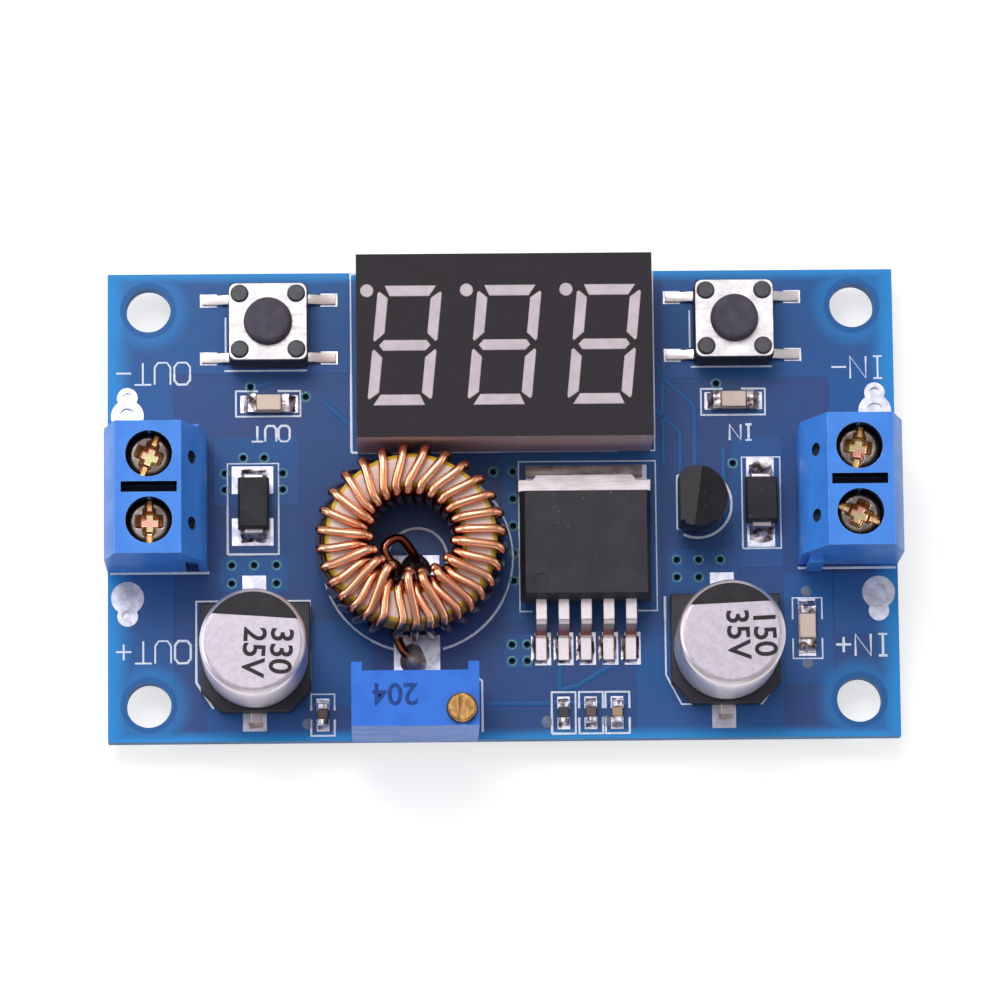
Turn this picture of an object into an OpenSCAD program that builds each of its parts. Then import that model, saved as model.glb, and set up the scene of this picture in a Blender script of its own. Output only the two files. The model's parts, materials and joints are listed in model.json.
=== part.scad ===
// Adjustable step-down (buck) converter module with a three-digit voltmeter.
// The board lies in the XY plane. X runs from the output end to the input end, Z points out of the
// component side, and the origin is at the centre of the four mounting holes, on the underside.

/* [Board] */
// Length of the board
board_w = 60; // [60:0.5:62]
// Depth of the board, front edge to back edge
board_h = 36; // [36:0.5:38]
// Thickness of the board
board_t = 1.6; // [1.2:0.1:2]
// Diameter of the mounting holes
hole_d = 3.4; // [3:0.1:3.6]
// Hole centres in from the short edges
hole_inset_x = 3.1; // [2.8:0.1:3.4]
// Hole centres in from the long edges
hole_inset_y = 2.8; // [2.6:0.1:3]
// How far the clipped leads reach below the board
lead_drop = 1.8; // [1.5:0.1:2.2]
// Diameter of the small plated holes
via_d = 0.45; // [0.3:0.05:0.5]
// Thickness of the tinned lands
land_t = 0.06; // [0.04:0.01:0.1]

/* [Wire pads] */
// Distance of the wire pads from the board's middle, along X
wire_pad_x = 28.5; // [28.4:0.1:28.6]
// Diameter of the larger hole of each pair
wire_hole_d = 1.3; // [1:0.1:1.4]
// Diameter of the larger pad of each pair
wire_pad_d = 2.5; // [2.3:0.1:2.6]

/* [Terminal blocks] */
// Length of a two-way block
block_l = 10; // [9.8:0.1:10.2]
// Width of a block, outer wall to inner wall
block_w = 7.6; // [7.4:0.1:7.8]
// Height of a block above the board
block_h = 10; // [9.8:0.1:10.5]
// Distance between the two ways
way_pitch = 5; // [5:0.04:5.08]
// Diameter of the screw holes in the top
screw_hole_d = 3.5; // [3.4:0.05:3.6]
// Travel of the clamp, from open to closed
clamp_travel = 2; // [1:0.25:2]

/* [Display] */
// Width of the display
display_w = 22.3; // [22.2:0.1:22.5]
// Depth of the display
display_h = 14; // [14:0.1:14.2]
// Height of the display
display_t = 7.2; // [7:0.1:8]
// Distance between digits
digit_pitch = 7.5; // [7.3:0.1:7.6]
// Height of a digit
digit_h = 9.16; // [9:0.02:9.2]
// Width of a digit
digit_w = 4.86; // [4.7:0.02:4.9]
// Thickness of a bar
bar_t = 0.83; // [0.7:0.01:0.9]
// Slant of the digits
digit_slant = 5.7; // [0:0.1:8]

/* [Push switches] */
// Distance of each switch from the board's middle, along X
switch_x = 17.7; // [17.5:0.1:17.9]
// Side of the square switch body
switch_side = 6; // [6:0.1:6.2]
// Height of the switch body
switch_h = 3.4; // [3.2:0.1:3.6]
// Diameter of the button
button_d = 3.5; // [3.3:0.1:3.5]
// Height of the button's top above the board
button_top = 4.3; // [4.2:0.1:5]
// Travel of the button
button_travel = 0.25; // [0.2:0.05:0.3]

/* [Inductor] */
// Outer diameter of the ring core
core_d = 13; // [12.7:0.1:13]
// Diameter of the core's hole
core_hole_d = 7.8; // [7.7:0.1:8]
// Height of the core
core_h = 4.8; // [4.6:0.1:5]
// Diameter of the winding wire
wire_d = 0.6; // [0.5:0.02:0.6]
// Number of turns
turns = 31; // [20:1:31]
// Angle that the winding covers
wound_angle = 356; // [340:1:356]
// How far the wire stands off the core
wire_slack = 0.13; // [0.11:0.01:0.14]

/* [Regulator] */
// Width of the regulator's body
regulator_w = 9.9; // [9.8:0.1:10.2]
// Length of the regulator's body
regulator_l = 8.5; // [8.3:0.1:8.6]
// Height of the regulator above its land
regulator_h = 4.4; // [4.2:0.1:4.6]
// Distance between its leads
regulator_pitch = 1.7; // [1.7:0.01:1.7]

/* [Capacitors] */
// Diameter of a capacitor's can
can_d = 8; // [7.8:0.1:8.1]
// Height of a capacitor above its lands
capacitor_h = 10.2; // [9:0.1:10.5]
// Side of a capacitor's square base
capacitor_side = 8.3; // [8.3:0.1:8.5]

/* [Trimmer] */
// Width of the trimmer
trimmer_w = 9.5; // [9.4:0.1:9.6]
// Depth of the trimmer
trimmer_d = 4.8; // [4.7:0.1:4.9]
// Height of the trimmer
trimmer_h = 10; // [9.8:0.1:10.2]
// Diameter of its adjusting screw
trimmer_screw_d = 2.2; // [2:0.1:2.3]

/* [Hidden] */
$fn = 48;

part_z = board_t + land_t;              // underside of what is soldered to a land
cut = 0.5;                              // how far a cutting shape runs past a face
eps = 0.02;                             // clearance between pieces that slip together

// Places on the board
block_x = board_w / 2 - block_w / 2;
block_out_y = -0.05;
block_in_y = 0.15;
display_at = [0.15, board_h / 2 - display_h / 2];
switch_y = 13.65;
inductor_at = [-7, -3.4];
inductor_land_x = -6.6;
inductor_land_y = [-4.9, -11.4];
regulator_at = [6.2, -3.6];
diode_left_at = [-18.9, 0];
diode_right_at = [19.65, 0];
small_regulator_at = [14.55, -0.45];
capacitor_left_at = [-18.8, -11.75];
capacitor_right_at = [16.75, -11.4];
capacitor_lands_at = [[-18.9, -11.3], [16.6, -11.35]];
trimmer_at = [-6.8, -board_h / 2 + trimmer_d / 2 - 0.15];
indicator_y = 7.85;
indicator_side_at = [23, -9.65];
chip_row_y = -16.05;
resistor_top_at = [4.45, chip_row_y];
capacitor_chips_at = [[6.5, chip_row_y], [8.5, chip_row_y], [-13.75, chip_row_y]];
controller_at = [3, -3];

// Sizes shared between pieces
pin_w = 0.5;
pin_hole_d = 0.9;
block_pin_w = 1;
block_pin_hole_d = 1.5;
screw_x = -0.3;                         // line of a block's screws, from its middle
trimmer_pin_d = 0.5;
display_rows = 10.16;
display_pin_pitch = 2.54;
trimmer_pin_pitch = 2.54;
small_pitch = 1.27;

function mirrored(p) = [for (sx = [-1, 1], sy = [-1, 1]) [sx * p[0], sy * p[1]]];
function shifted(points, by) = [for (p = points) p + by];

mounting_points = mirrored([board_w / 2 - hole_inset_x, board_h / 2 - hole_inset_y]);
display_pin_points = [for (i = [0:5], side = [-1, 1])
    if (side > 0 || i < 5) display_at + [(i - 2.5) * display_pin_pitch, side * display_rows / 2]];
block_pin_points = [for (way = [-0.5, 0.5])
    each [[-block_x + screw_x, block_out_y + way * way_pitch],
          [block_x - screw_x, block_in_y + way * way_pitch]]];
trimmer_pin_points = [for (i = [-1:1]) trimmer_at + [i * trimmer_pin_pitch, 0]];
small_pin_points = [for (i = [-1:1]) small_regulator_at + [0, i * small_pitch]];
wire_pads = [for (sx = [-1, 1], sy = [-1, 1]) [sx * wire_pad_x, sy * 7, sy]];
via_points = concat(
    [[-19.1, 9.2], [-14.9, 8.4], [16.4, 9.2], [17.6, 3], [-0.7, 2.5], [-19.7, 3.7], [-18.1, 3.7]],
    [[23, -6.9], [23, -12.4], [-14.9, -16.7], [3.2, -16.7], [7.7, -16.7]],
    [for (x = [-21.1, -16.7], y = [2.5, 1.25]) [x, y]],
    [for (i = [0:4]) [0.8, 2.5 - 2.1 * i]],
    [for (x = [0.6, 1.75], y = [-10.8, -12.05]) [x, y]],
    [for (i = [0:2], j = [0:1]) if (i != 1 || j == 0) [-20.6 + 1.7 * i, -4.55 - 1.4 * j]],
    [for (i = [0:2], j = [0:1]) if (i != 2 || j == 0) [13.2 + 1.65 * i, -4.4 - 1.35 * j]]);

// ---- Shared shapes ----

module at(p, z = board_t, turn = 0) {
    translate([p[0], p[1], z]) rotate([0, 0, turn]) children();
}

// A plain block standing on z = 0, centred on the origin
module slab(size) {
    translate([-size[0] / 2, -size[1] / 2, 0]) cube(size);
}

// A block whose four upright edges are rounded
module rounded_slab(size, r) {
    linear_extrude(size[2]) rounded_outline([size[0], size[1]], r);
}

module rounded_outline(size, r) {
    polygon([for (q = [0:3], a = [0:30:90])
        let (c = [(q == 0 || q == 3 ? 1 : -1) * (size[0] / 2 - r), (q < 2 ? 1 : -1) * (size[1] / 2 - r)])
        c + r * [cos(a + 90 * q), sin(a + 90 * q)]]);
}

// A moulded body: a lower and an upper half that both narrow away from the parting line
module moulded_body(size, parting, draft) {
    half_profile = [[-size[0] / 2 + draft, 0], [size[0] / 2 - draft, 0], [size[0] / 2, parting],
        [size[0] / 2 - draft, size[2]], [-size[0] / 2 + draft, size[2]], [-size[0] / 2, parting]];
    side_profile = [[-size[1] / 2 + draft, 0], [size[1] / 2 - draft, 0], [size[1] / 2, parting],
        [size[1] / 2 - draft, size[2]], [-size[1] / 2 + draft, size[2]], [-size[1] / 2, parting]];
    intersection() {
        rotate([90, 0, 0]) translate([0, 0, -size[1]]) linear_extrude(2 * size[1]) polygon(half_profile);
        rotate([90, 0, 90]) translate([0, 0, -size[0]]) linear_extrude(2 * size[0]) polygon(side_profile);
    }
}

// A ribbon of constant width that follows side-on points (x, z)
module bent_strip(points, width) {
    rotate([90, 0, 0]) translate([0, 0, -width / 2]) linear_extrude(width) polygon(points);
}

// ---- Board ----

module drill(points, d) {
    for (p = points) at(p, -cut) cylinder(h = board_t + 2 * cut, d = d);
}

function small_wire_hole(p) = [p[0], p[1] + p[2] * 1.4];

module circuit_board() {
    color("#2c5591")
    difference() {
        slab([board_w, board_h, board_t]);
        drill(mounting_points, hole_d);
        drill(via_points, via_d);
        drill(wire_pads, wire_hole_d);
        drill([for (p = wire_pads) small_wire_hole(p)], 0.9);
        drill(block_pin_points, block_pin_hole_d);
        drill(concat(display_pin_points, trimmer_pin_points, small_pin_points), pin_hole_d);
    }
}

// A land on the component side
module land(p, size) {
    at(p) slab([size[0], size[1], land_t]);
}

// A land on the underside
module under_land(p, size) {
    at(p, -land_t) slab([size[0], size[1], land_t]);
}

// A pair of joined round pads for a wire, filled with tin and dished in the middle
module wire_pad(p) {
    dish = 0.18;
    difference() {
        union() {
            at(p, -land_t) cylinder(h = board_t + 2 * land_t, d = wire_hole_d);
            at(small_wire_hole(p), -land_t) cylinder(h = board_t + 2 * land_t, d = 0.9);
            for (z = [-land_t, board_t]) {
                at(p, z) cylinder(h = land_t, d = wire_pad_d);
                at(small_wire_hole(p), z) cylinder(h = land_t, d = 1.56);
            }
        }
        for (z = [-land_t - dish, board_t + land_t - dish]) {
            at(p, z) cylinder(h = 2 * dish, d = wire_hole_d - 0.1);
            at(small_wire_hole(p), z) cylinder(h = 2 * dish, d = 0.8);
        }
    }
}

// A ring of tin round a lead, on the underside
module pin_ring(p, hole, d) {
    at(p, -land_t) difference() {
        cylinder(h = land_t, d = d);
        translate([0, 0, -cut]) cylinder(h = land_t + 2 * cut, d = hole);
    }
}

module tinned_lands() {
    color("#cfd0dc") {
        for (p = wire_pads) wire_pad(p);
        for (p = block_pin_points) pin_ring(p, block_pin_hole_d, 2.6);
        for (p = concat(display_pin_points, trimmer_pin_points)) pin_ring(p, pin_hole_d, 1.6);
        for (p = small_pin_points) pin_ring(p, pin_hole_d, 1.2);
        for (side = [-1, 1], dx = [-4.6, 4.6], dy = [-2.25, 2.25])
            land([side * switch_x + dx, switch_y + dy], [1.3, 1]);
        for (side = [-1, 1], dx = [-1.75, 1.75])
            land([side * switch_x + dx, indicator_y], [0.9, 1.35]);
        for (dy = [-1.75, 1.75]) land(indicator_side_at + [0, dy], [1.3, 0.9]);
        for (dy = [-2, 2]) land(diode_left_at + [-0.1, dy], [3.15, 2.1]);
        for (dy = [-2.35, 2.35]) land(diode_right_at + [0, dy], [2.1, 2.2]);
        for (p = concat([resistor_top_at], capacitor_chips_at), dy = [-0.8, 0.8])
            land(p + [0, dy], [0.95, 0.9]);
        for (y = inductor_land_y) land([inductor_land_x, y], [3.5, y < -8 ? 2.8 : 2]);
        land(regulator_at + [0.2, 3.05], [9.2, 7]);
        for (i = [-2:2]) land(regulator_at + [i * regulator_pitch + 0.15, -7.55], [1.2, 2.5]);
        for (p = capacitor_lands_at, dy = [-3.9, 3.9]) land(p + [0, dy], [1.8, 4.1]);
        for (p = under_chips, end = [-1, 1]) under_land(p + [end * 0.8, 0], [0.8, 0.9]);
        for (i = [0:9], side = [-1, 1])
            under_land(controller_at + [side * 2.85, (i - 4.5) * controller_pitch], [1, 0.35]);
    }
}

// ---- Terminal blocks ----
// Drawn round their own middle, with the wire entries towards -X and z = 0 on the board.

cage_w = 3.8;                           // width of a contact's cage
cage_wall = 0.5;
cage_z = [0, 5.7];                      // bottom and top of a cage
cage_x = [-2.8, 2.3];                   // front and back of a cage
shank_d = 2.4;
head_d = 3.3;
head_t = 1.2;
head_z = cage_z[1] + clamp_travel;      // underside of the head when open
guard_t = 0.5;
tip_d = 1.4;
guard_z = cage_z[1] - cage_wall - guard_t;
key_h = 5;                              // height of the key that joins blocks side by side

module block_outline() {
    polygon([[-block_w / 2, 0], [block_w / 2, 0], [block_w / 2, 5.7], [block_w / 2 - 1.7, block_h],
        [-block_w / 2 + 0.95, block_h], [-block_w / 2, 6.4]]);
}

// Upright joining key, the same shape for the rib and the groove beside it
module dovetail(grow = 0) {
    rib_x = 2.7;
    linear_extrude(key_h) translate([rib_x, 0])
        polygon([[-0.35 - grow, -0.3], [0.35 + grow, -0.3], [0.6 + grow, 0.55 + grow],
            [-0.6 - grow, 0.55 + grow]]);
}

module block_shape() {
    rotate([90, 0, 0]) translate([0, 0, -block_l / 2]) linear_extrude(block_l) block_outline();
    translate([0, block_l / 2, 0]) dovetail();
}

module terminal_housing() {
    cage_fit = cage_w + 2 * eps;
    entry = [3.1, 3.7];
    entry_z = 0.8;
    slope_angle = atan2(block_h - 5.7, 1.7);
    color("#2f86d8")
    difference() {
        block_shape();
        for (way = [-0.5, 0.5]) translate([0, way * way_pitch, 0]) {
            // room for the cage, open to the board
            translate([cage_x[0], -cage_fit / 2, -cut])
                cube([cage_x[1] - cage_x[0] + eps, cage_fit, cage_z[1] + cut + eps]);
            translate([screw_x, 0, 1]) cylinder(h = block_h, d = screw_hole_d);
            // wire entry with a funnel edge
            translate([-block_w, -entry[0] / 2, entry_z]) cube([block_w, entry[0], entry[1]]);
            translate([-block_w / 2, 0, entry_z + entry[1] / 2]) rotate([0, 0, 45])
                cube([2.4, 2.4, entry[1]], center = true);
            // probe hole in the inner slope
            translate([block_w / 2 - 0.95, 0, 8.1]) rotate([0, 90 - slope_angle, 0])
                translate([0, 0, -0.8]) cylinder(h = 3, d = 1);
        }
        // parting slot between the screws
        translate([screw_x, 0, block_h - 2]) slab([4.2, 0.8, 3]);
        for (z = [-1, 0.1]) translate([0, -block_l / 2, z]) dovetail(0.05);
    }
}

// One contact: a closed cage with a tapped top and a pin through the board
module terminal_contact() {
    difference() {
        translate([cage_x[0], -cage_w / 2, cage_z[0]])
            cube([cage_x[1] - cage_x[0], cage_w, cage_z[1] - cage_z[0]]);
        translate([cage_x[0] - cut, -cage_w / 2 + cage_wall, cage_z[0] + cage_wall])
            cube([cage_x[1] - cage_x[0] + 2 * cut, cage_w - 2 * cage_wall,
                cage_z[1] - cage_z[0] - 2 * cage_wall]);
        translate([screw_x, 0, cage_z[1] - 1]) cylinder(h = 2, d = shank_d + 0.1);
    }
    translate([screw_x, 0, -board_t - lead_drop])
        slab([block_pin_w, block_pin_w, board_t + lead_drop + cage_wall / 2]);
}

module terminal_contacts() {
    color("#c9c6bd") for (way = [-0.5, 0.5]) translate([0, way * way_pitch, 0]) terminal_contact();
}

// The plate that presses on the wire; its ends turn down
module wire_guard() {
    guard_w = cage_w - 2 * cage_wall - 0.2;
    lip = 0.35;
    color("#d8d5cc") translate([screw_x, 0, guard_z])
    difference() {
        union() {
            slab([3.4, guard_w, guard_t]);
            for (end = [-1.7 + lip / 2, 1.7 - lip / 2])
                translate([end, 0, -0.3]) slab([lip, guard_w, 0.4]);
        }
        translate([0, 0, -1]) cylinder(h = 3, d = tip_d + 0.1);
    }
}

// Clamp screw with a domed head, a cross recess and a through slot
module clamp_screw(turn) {
    color("#c2a13c") translate([screw_x, 0, 0]) rotate([0, 0, turn])
    difference() {
        union() {
            translate([0, 0, head_z]) rotate_extrude()
                polygon([[0, 0], [head_d / 2, 0], [head_d / 2, 0.75],
                    for (a = [15:15:90]) [head_d / 2 - 0.45 + 0.45 * cos(a), 0.75 + 0.45 * sin(a)],
                    [0, head_t]]);
            translate([0, 0, guard_z + guard_t])
                cylinder(h = head_z - guard_z - guard_t + 0.1, d = shank_d);
            translate([0, 0, guard_z + 0.02]) cylinder(h = guard_t + 0.1, d = tip_d);
        }
        for (a = [0, 90]) rotate([0, 0, a]) translate([0, 0, head_z + 0.25]) slab([1.9, 0.5, 3]);
        translate([0, 0, head_z + head_t - 0.5]) slab([head_d + 1, 0.5, 3]);
    }
}

// Places one way's piece at the output block or the input block
module in_block(input, way = 0) {
    at([input ? block_x : -block_x, input ? block_in_y : block_out_y], board_t, input ? 180 : 0)
        translate([0, way * way_pitch, 0]) children();
}

module terminal_housing_out() { in_block(false) terminal_housing(); }
module terminal_housing_in() { in_block(true) terminal_housing(); }
module terminal_contacts_out() { in_block(false) terminal_contacts(); }
module terminal_contacts_in() { in_block(true) terminal_contacts(); }
module wire_guard_out_minus() { in_block(false, 0.5) wire_guard(); }
module wire_guard_out_plus() { in_block(false, -0.5) wire_guard(); }
module wire_guard_in_minus() { in_block(true, -0.5) wire_guard(); }
module wire_guard_in_plus() { in_block(true, 0.5) wire_guard(); }
module clamp_screw_out_minus() { in_block(false, 0.5) clamp_screw(69); }
module clamp_screw_out_plus() { in_block(false, -0.5) clamp_screw(90); }
module clamp_screw_in_minus() { in_block(true, -0.5) clamp_screw(82); }
module clamp_screw_in_plus() { in_block(true, 0.5) clamp_screw(157); }

// ---- Display ----
// Drawn round the middle of its face outline, with z = 0 on the board.

display_pcb_t = 1;
display_foot = 0.6;                     // how far the rim stands below the base board
well_z = display_foot + display_pcb_t;  // bottom of the light wells

function slanted(points) = [for (p = points) [p[0] + p[1] * tan(digit_slant), p[1]]];
function flipped(points, fx, fy) = [for (p = points) [p[0] * fx, p[1] * fy]];

// The top bar, an upper side bar and the middle bar; the others are their mirror images
bar_end = digit_w / 2 - 0.48;
top_bar = [[-bar_end, digit_h / 2], [bar_end, digit_h / 2],
    [bar_end - 0.46, digit_h / 2 - bar_t], [-bar_end + 0.46, digit_h / 2 - bar_t]];
side_bar = [[digit_w / 2, 0.42], [digit_w / 2, digit_h / 2 - 0.58],
    [digit_w / 2 - 0.15, digit_h / 2 - 0.45], [digit_w / 2 - bar_t, digit_h / 2 - 0.97],
    [digit_w / 2 - bar_t, 0.92], [digit_w / 2 - 0.15, 0.29]];
middle_bar = [[-bar_end, 0], [-bar_end + 0.34, bar_t / 2], [bar_end - 0.34, bar_t / 2],
    [bar_end, 0], [bar_end - 0.34, -bar_t / 2], [-bar_end + 0.34, -bar_t / 2]];

module digit_bars() {
    for (fy = [-1, 1]) polygon(slanted(flipped(top_bar, 1, fy)));
    for (fx = [-1, 1], fy = [-1, 1]) polygon(slanted(flipped(side_bar, fx, fy)));
    polygon(slanted(middle_bar));
    translate([-2.83, 4.2]) circle(d = 1, $fn = 24);
}

module light_wells(z, h) {
    for (i = [-1:1]) translate([i * digit_pitch, 0, z]) linear_extrude(h) digit_bars();
}

module display_housing() {
    wall = 0.9;
    color("#2d2a2f") at(display_at)
    difference() {
        slab([display_w, display_h, display_t]);
        translate([0, 0, -cut]) slab([display_w - 2 * wall, display_h - 2 * wall, well_z + cut]);
        // gaps under the rim let washing fluid drain
        for (a = [0, 90]) rotate([0, 0, a]) translate([0, 0, -cut])
            slab([a == 0 ? display_w - 5 : display_h - 5, 2 * display_w, display_foot / 2 + cut]);
        light_wells(well_z - cut, display_t);
    }
}

module display_light_bars() {
    color("#cdbfca") at(display_at) light_wells(well_z, display_t - well_z);
}

module display_base_board() {
    color("#2f6b46") at(display_at, board_t + display_foot)
    difference() {
        slab([display_w - 1.8 - 2 * eps, display_h - 1.8 - 2 * eps, display_pcb_t]);
        for (p = display_pin_points)
            at(p - display_at, -cut) slab([pin_w, pin_w, display_pcb_t + 2 * cut]);
    }
}

module display_pins() {
    color("#c8c8cc") for (p = display_pin_points)
        at(p, -lead_drop) slab([pin_w, pin_w, lead_drop + board_t + well_z]);
}

// ---- Push switches ----

cavity_d = 4.4;
flange_d = 4.2;
flange_t = 0.5;
cover_t = 0.3;
rivet_offset = 2.15;
dome_z = 0.9;                           // floor of the cavity
dome_rise = 0.38;
dome_t = 0.1;
cover_z = switch_h - cover_t;

module at_switch(side) {
    at([side * switch_x, switch_y]) children();
}

module switch_base(side) {
    color("#26262a") at_switch(side)
    difference() {
        union() {
            rounded_slab([switch_side, switch_side, cover_z], 0.35);
            for (p = mirrored([rivet_offset, rivet_offset])) {
                at(p, 0) cylinder(h = switch_h, d = 0.95);
                at(p, switch_h) cylinder(h = 0.2, d1 = 1.4, d2 = 1.1);
            }
        }
        translate([0, 0, dome_z]) cylinder(h = switch_h, d = cavity_d);
        for (dx = [-1, 1], dy = [-1, 1])
            translate([dx * switch_side / 2, dy * 2.25, -cut]) slab([1.2, 0.8, cut + 0.52]);
    }
}

module switch_cover(side) {
    color("#c8c4bf") at_switch(side) translate([0, 0, cover_z])
    difference() {
        rounded_slab([switch_side - 0.1, switch_side - 0.1, cover_t], 0.5);
        translate([0, 0, -cut]) cylinder(h = 2, d = button_d + 0.1);
        for (p = mirrored([rivet_offset, rivet_offset])) at(p, -cut) cylinder(h = 2, d = 0.95);
    }
}

module switch_button(side) {
    stem_z = cover_z - flange_t;
    chamfer = 0.2;
    nub_z = dome_z + dome_rise + dome_t;
    color("#2b2b30") at_switch(side) rotate_extrude()
        polygon([[0, nub_z], [0.8, nub_z], [0.8, stem_z], [flange_d / 2, stem_z],
            [flange_d / 2, cover_z], [button_d / 2, cover_z], [button_d / 2, button_top - chamfer],
            [button_d / 2 - chamfer, button_top], [0, button_top]]);
}

// Snap dome: a thin pressed disc under the button
module switch_dome(side) {
    dome_r = 2.05;
    profile = [for (i = [0:4]) [dome_r * i / 4, dome_rise * (1 - pow(i / 4, 2))]];
    color("#d5d6d8") at_switch(side) translate([0, 0, dome_z]) rotate_extrude()
        polygon(concat([for (p = profile) p + [0, dome_t]], [for (i = [4:-1:0]) profile[i]]));
}

// Four gull-wing leads
module switch_leads(side) {
    t = 0.25;
    reach = 5.1;
    inner = 2.4;
    rise = 0.45;
    color("#d9d9dd") at_switch(side)
    for (flip = [0, 180], dy = [-2.25, 2.25]) rotate([0, 0, flip]) translate([0, dy, land_t])
        bent_strip([[inner, rise - t], [3.3, rise - t], [3.7, 0], [reach, 0], [reach, t],
            [3.8, t], [3.4, rise], [inner, rise]], 0.75);
}

module switch_base_left() { switch_base(-1); }
module switch_cover_left() { switch_cover(-1); }
module switch_button_left() { switch_button(-1); }
module switch_dome_left() { switch_dome(-1); }
module switch_leads_left() { switch_leads(-1); }
module switch_base_right() { switch_base(1); }
module switch_cover_right() { switch_cover(1); }
module switch_button_right() { switch_button(1); }
module switch_dome_right() { switch_dome(1); }
module switch_leads_right() { switch_leads(1); }

// ---- Inductor ----
// One wire: a tail from the board up through the hole, the turns, then a tail to the other land.

core_z = part_z + wire_d + wire_slack;
loop_x = [core_hole_d / 2 - wire_d / 2 - wire_slack, core_d / 2 + wire_d / 2 + wire_slack];
loop_z = [part_z + wire_d / 2, core_z + core_h + wire_slack + wire_d / 2];
loop_r = 0.85;                          // corner radius of a turn
start_angle = 248;
crowding = 0.2;                         // the turns lie closer where the winding begins and ends
turn_lean = 10;                         // how far a turn leans on the two sides of the ring
ring_count = 12;                        // rings of points in one turn
wire_sides = 8;

module inductor_core() {
    edge = 0.5;
    r = [core_hole_d / 2, core_d / 2];
    color("#c9a227") at(inductor_at, core_z) rotate_extrude($fn = 96)
        polygon([for (corner = [[r[1] - edge, edge, -90], [r[1] - edge, core_h - edge, 0],
                [r[0] + edge, core_h - edge, 90], [r[0] + edge, edge, 180]], a = [0:30:90])
            [corner[0] + edge * cos(corner[2] + a), corner[1] + edge * sin(corner[2] + a)]]);
}

// Point number i of a turn: over the top from inside to outside, then back underneath
function loop_corner(i) = let (q = floor(i / 3), a = 180 - 45 * (i % 3) - 90 * q)
    [(q == 0 || q == 3 ? loop_x[0] + loop_r : loop_x[1] - loop_r) + loop_r * cos(a),
     (q < 2 ? loop_z[1] - loop_r : loop_z[0] + loop_r) + loop_r * sin(a)];
// How far turn n lies over its neighbours: every other one, near the two ends
function rise(n) = let (m = min(n, turns - 1 - n)) m % 2 == 1 && m < 10 ? 1 - m / 12 : 0;
function turn_angle(s, q) = start_angle - wound_angle * s
    + (q < 2 ? wound_angle * crowding / (2 * PI) * sin(360 * s) : 0);
function turn_point(i) =
    let (q = floor(i % ring_count / 3), a = turn_angle(i / (turns * ring_count), q),
        lifted = q == 0 ? rise(floor(i / ring_count)) : 0,
        p = loop_corner(i % ring_count) + lifted * [-1, 0.8])
    polar(p[0], a + turn_lean * [0.3, -0.5, -0.25, 0][q] * sin(a), p[1]);
// A point at a radius and angle round the middle of the core
function polar(r, a, z) = [inductor_at[0] + r * cos(a), inductor_at[1] + r * sin(a), z];

hole_tip = [inductor_land_x, inductor_land_y[0] + 0.35, part_z + wire_d / 2];
outer_tip = [inductor_land_x - 0.3, inductor_land_y[1] - 0.5, part_z + wire_d / 2];
hole_tail = [hole_tip, hole_tip + [0, 0.15, 1.3], polar(0.9, 150, 4.1), polar(2, 185, 4.4),
    polar(2.1, 215, 4.4), polar(2, 238, 4.4), polar(2.4, 248, 4.9), polar(3.1, 249, 5.8)];
outer_tail = [outer_tip + [-1.1, 1.4, 0], outer_tip + [-0.7, 0.6, 0], outer_tip];
wire_path = concat(hole_tail, [for (i = [0:turns * ring_count - 4]) turn_point(i)], outer_tail);

// Sweeps a ring of points along a path, turning it as little as possible from ring to ring
function unit(v) = v / norm(v);
function path_direction(path, i) =
    unit(path[min(i + 1, len(path) - 1)] - path[max(i - 1, 0)]);
function sweep_frames(path, i = 0, side = [1, 0, 0]) = i == len(path) ? [] :
    let (d = path_direction(path, i), s = unit(side - (side * d) * d))
    concat([[s, cross(d, s)]], sweep_frames(path, i + 1, s));

module swept_wire(path, d, sides) {
    frames = sweep_frames(path);
    last = (len(path) - 1) * sides;
    points = [for (i = [0:len(path) - 1], k = [0:sides - 1]) let (a = 360 * k / sides)
        path[i] + d / 2 * (cos(a) * frames[i][0] + sin(a) * frames[i][1])];
    faces = concat(
        [[for (k = [0:sides - 1]) sides - 1 - k]],
        [for (i = [0:len(path) - 2], k = [0:sides - 1]) let (n = (k + 1) % sides)
            [i * sides + k, i * sides + n, (i + 1) * sides + n, (i + 1) * sides + k]],
        [[for (k = [0:sides - 1]) last + k]]);
    polyhedron(points, [for (f = faces) [for (j = [len(f) - 1:-1:0]) f[j]]], convexity = 10);
}

module inductor_winding() {
    color("#c4713a") swept_wire(wire_path, wire_d, wire_sides);
}

// ---- Regulator ----

tab_t = 1.27;

module regulator_body() {
    color("#2b2c30") at(regulator_at, part_z)
    difference() {
        moulded_body([regulator_w, regulator_l, regulator_h], 1.9, 0.35);
        translate([0, cut, -cut]) slab([regulator_w - 1.6, regulator_l, tab_t + cut]);
        for (i = [-2:2]) translate([i * regulator_pitch, -regulator_l / 2, lead_z])
            slab([0.85, 1.6, 0.5]);
        // dimple that marks the first lead
        translate([-regulator_w / 2 + 1.5, -regulator_l / 2 + 1.3, regulator_h - 0.08])
            cylinder(h = 1, d = 1.1);
    }
}

module regulator_tab() {
    w = regulator_w + 0.2;
    reach = 1.4;
    nick = 1.1;
    color("#b9b2b4") at(regulator_at, part_z) union() {
        linear_extrude(tab_t) polygon([[-w / 2, regulator_l / 2], [w / 2, regulator_l / 2],
            [w / 2, regulator_l / 2 + reach - 0.4], [w / 2 - nick, regulator_l / 2 + reach - 0.4],
            [w / 2 - nick - 0.3, regulator_l / 2 + reach], [-w / 2 + nick + 0.3, regulator_l / 2 + reach],
            [-w / 2 + nick, regulator_l / 2 + reach - 0.4], [-w / 2, regulator_l / 2 + reach - 0.4]]);
        translate([0, cut, 0]) slab([regulator_w - 1.6, regulator_l - 0.01, tab_t]);
    }
}

lead_z = 2.2;

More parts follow.
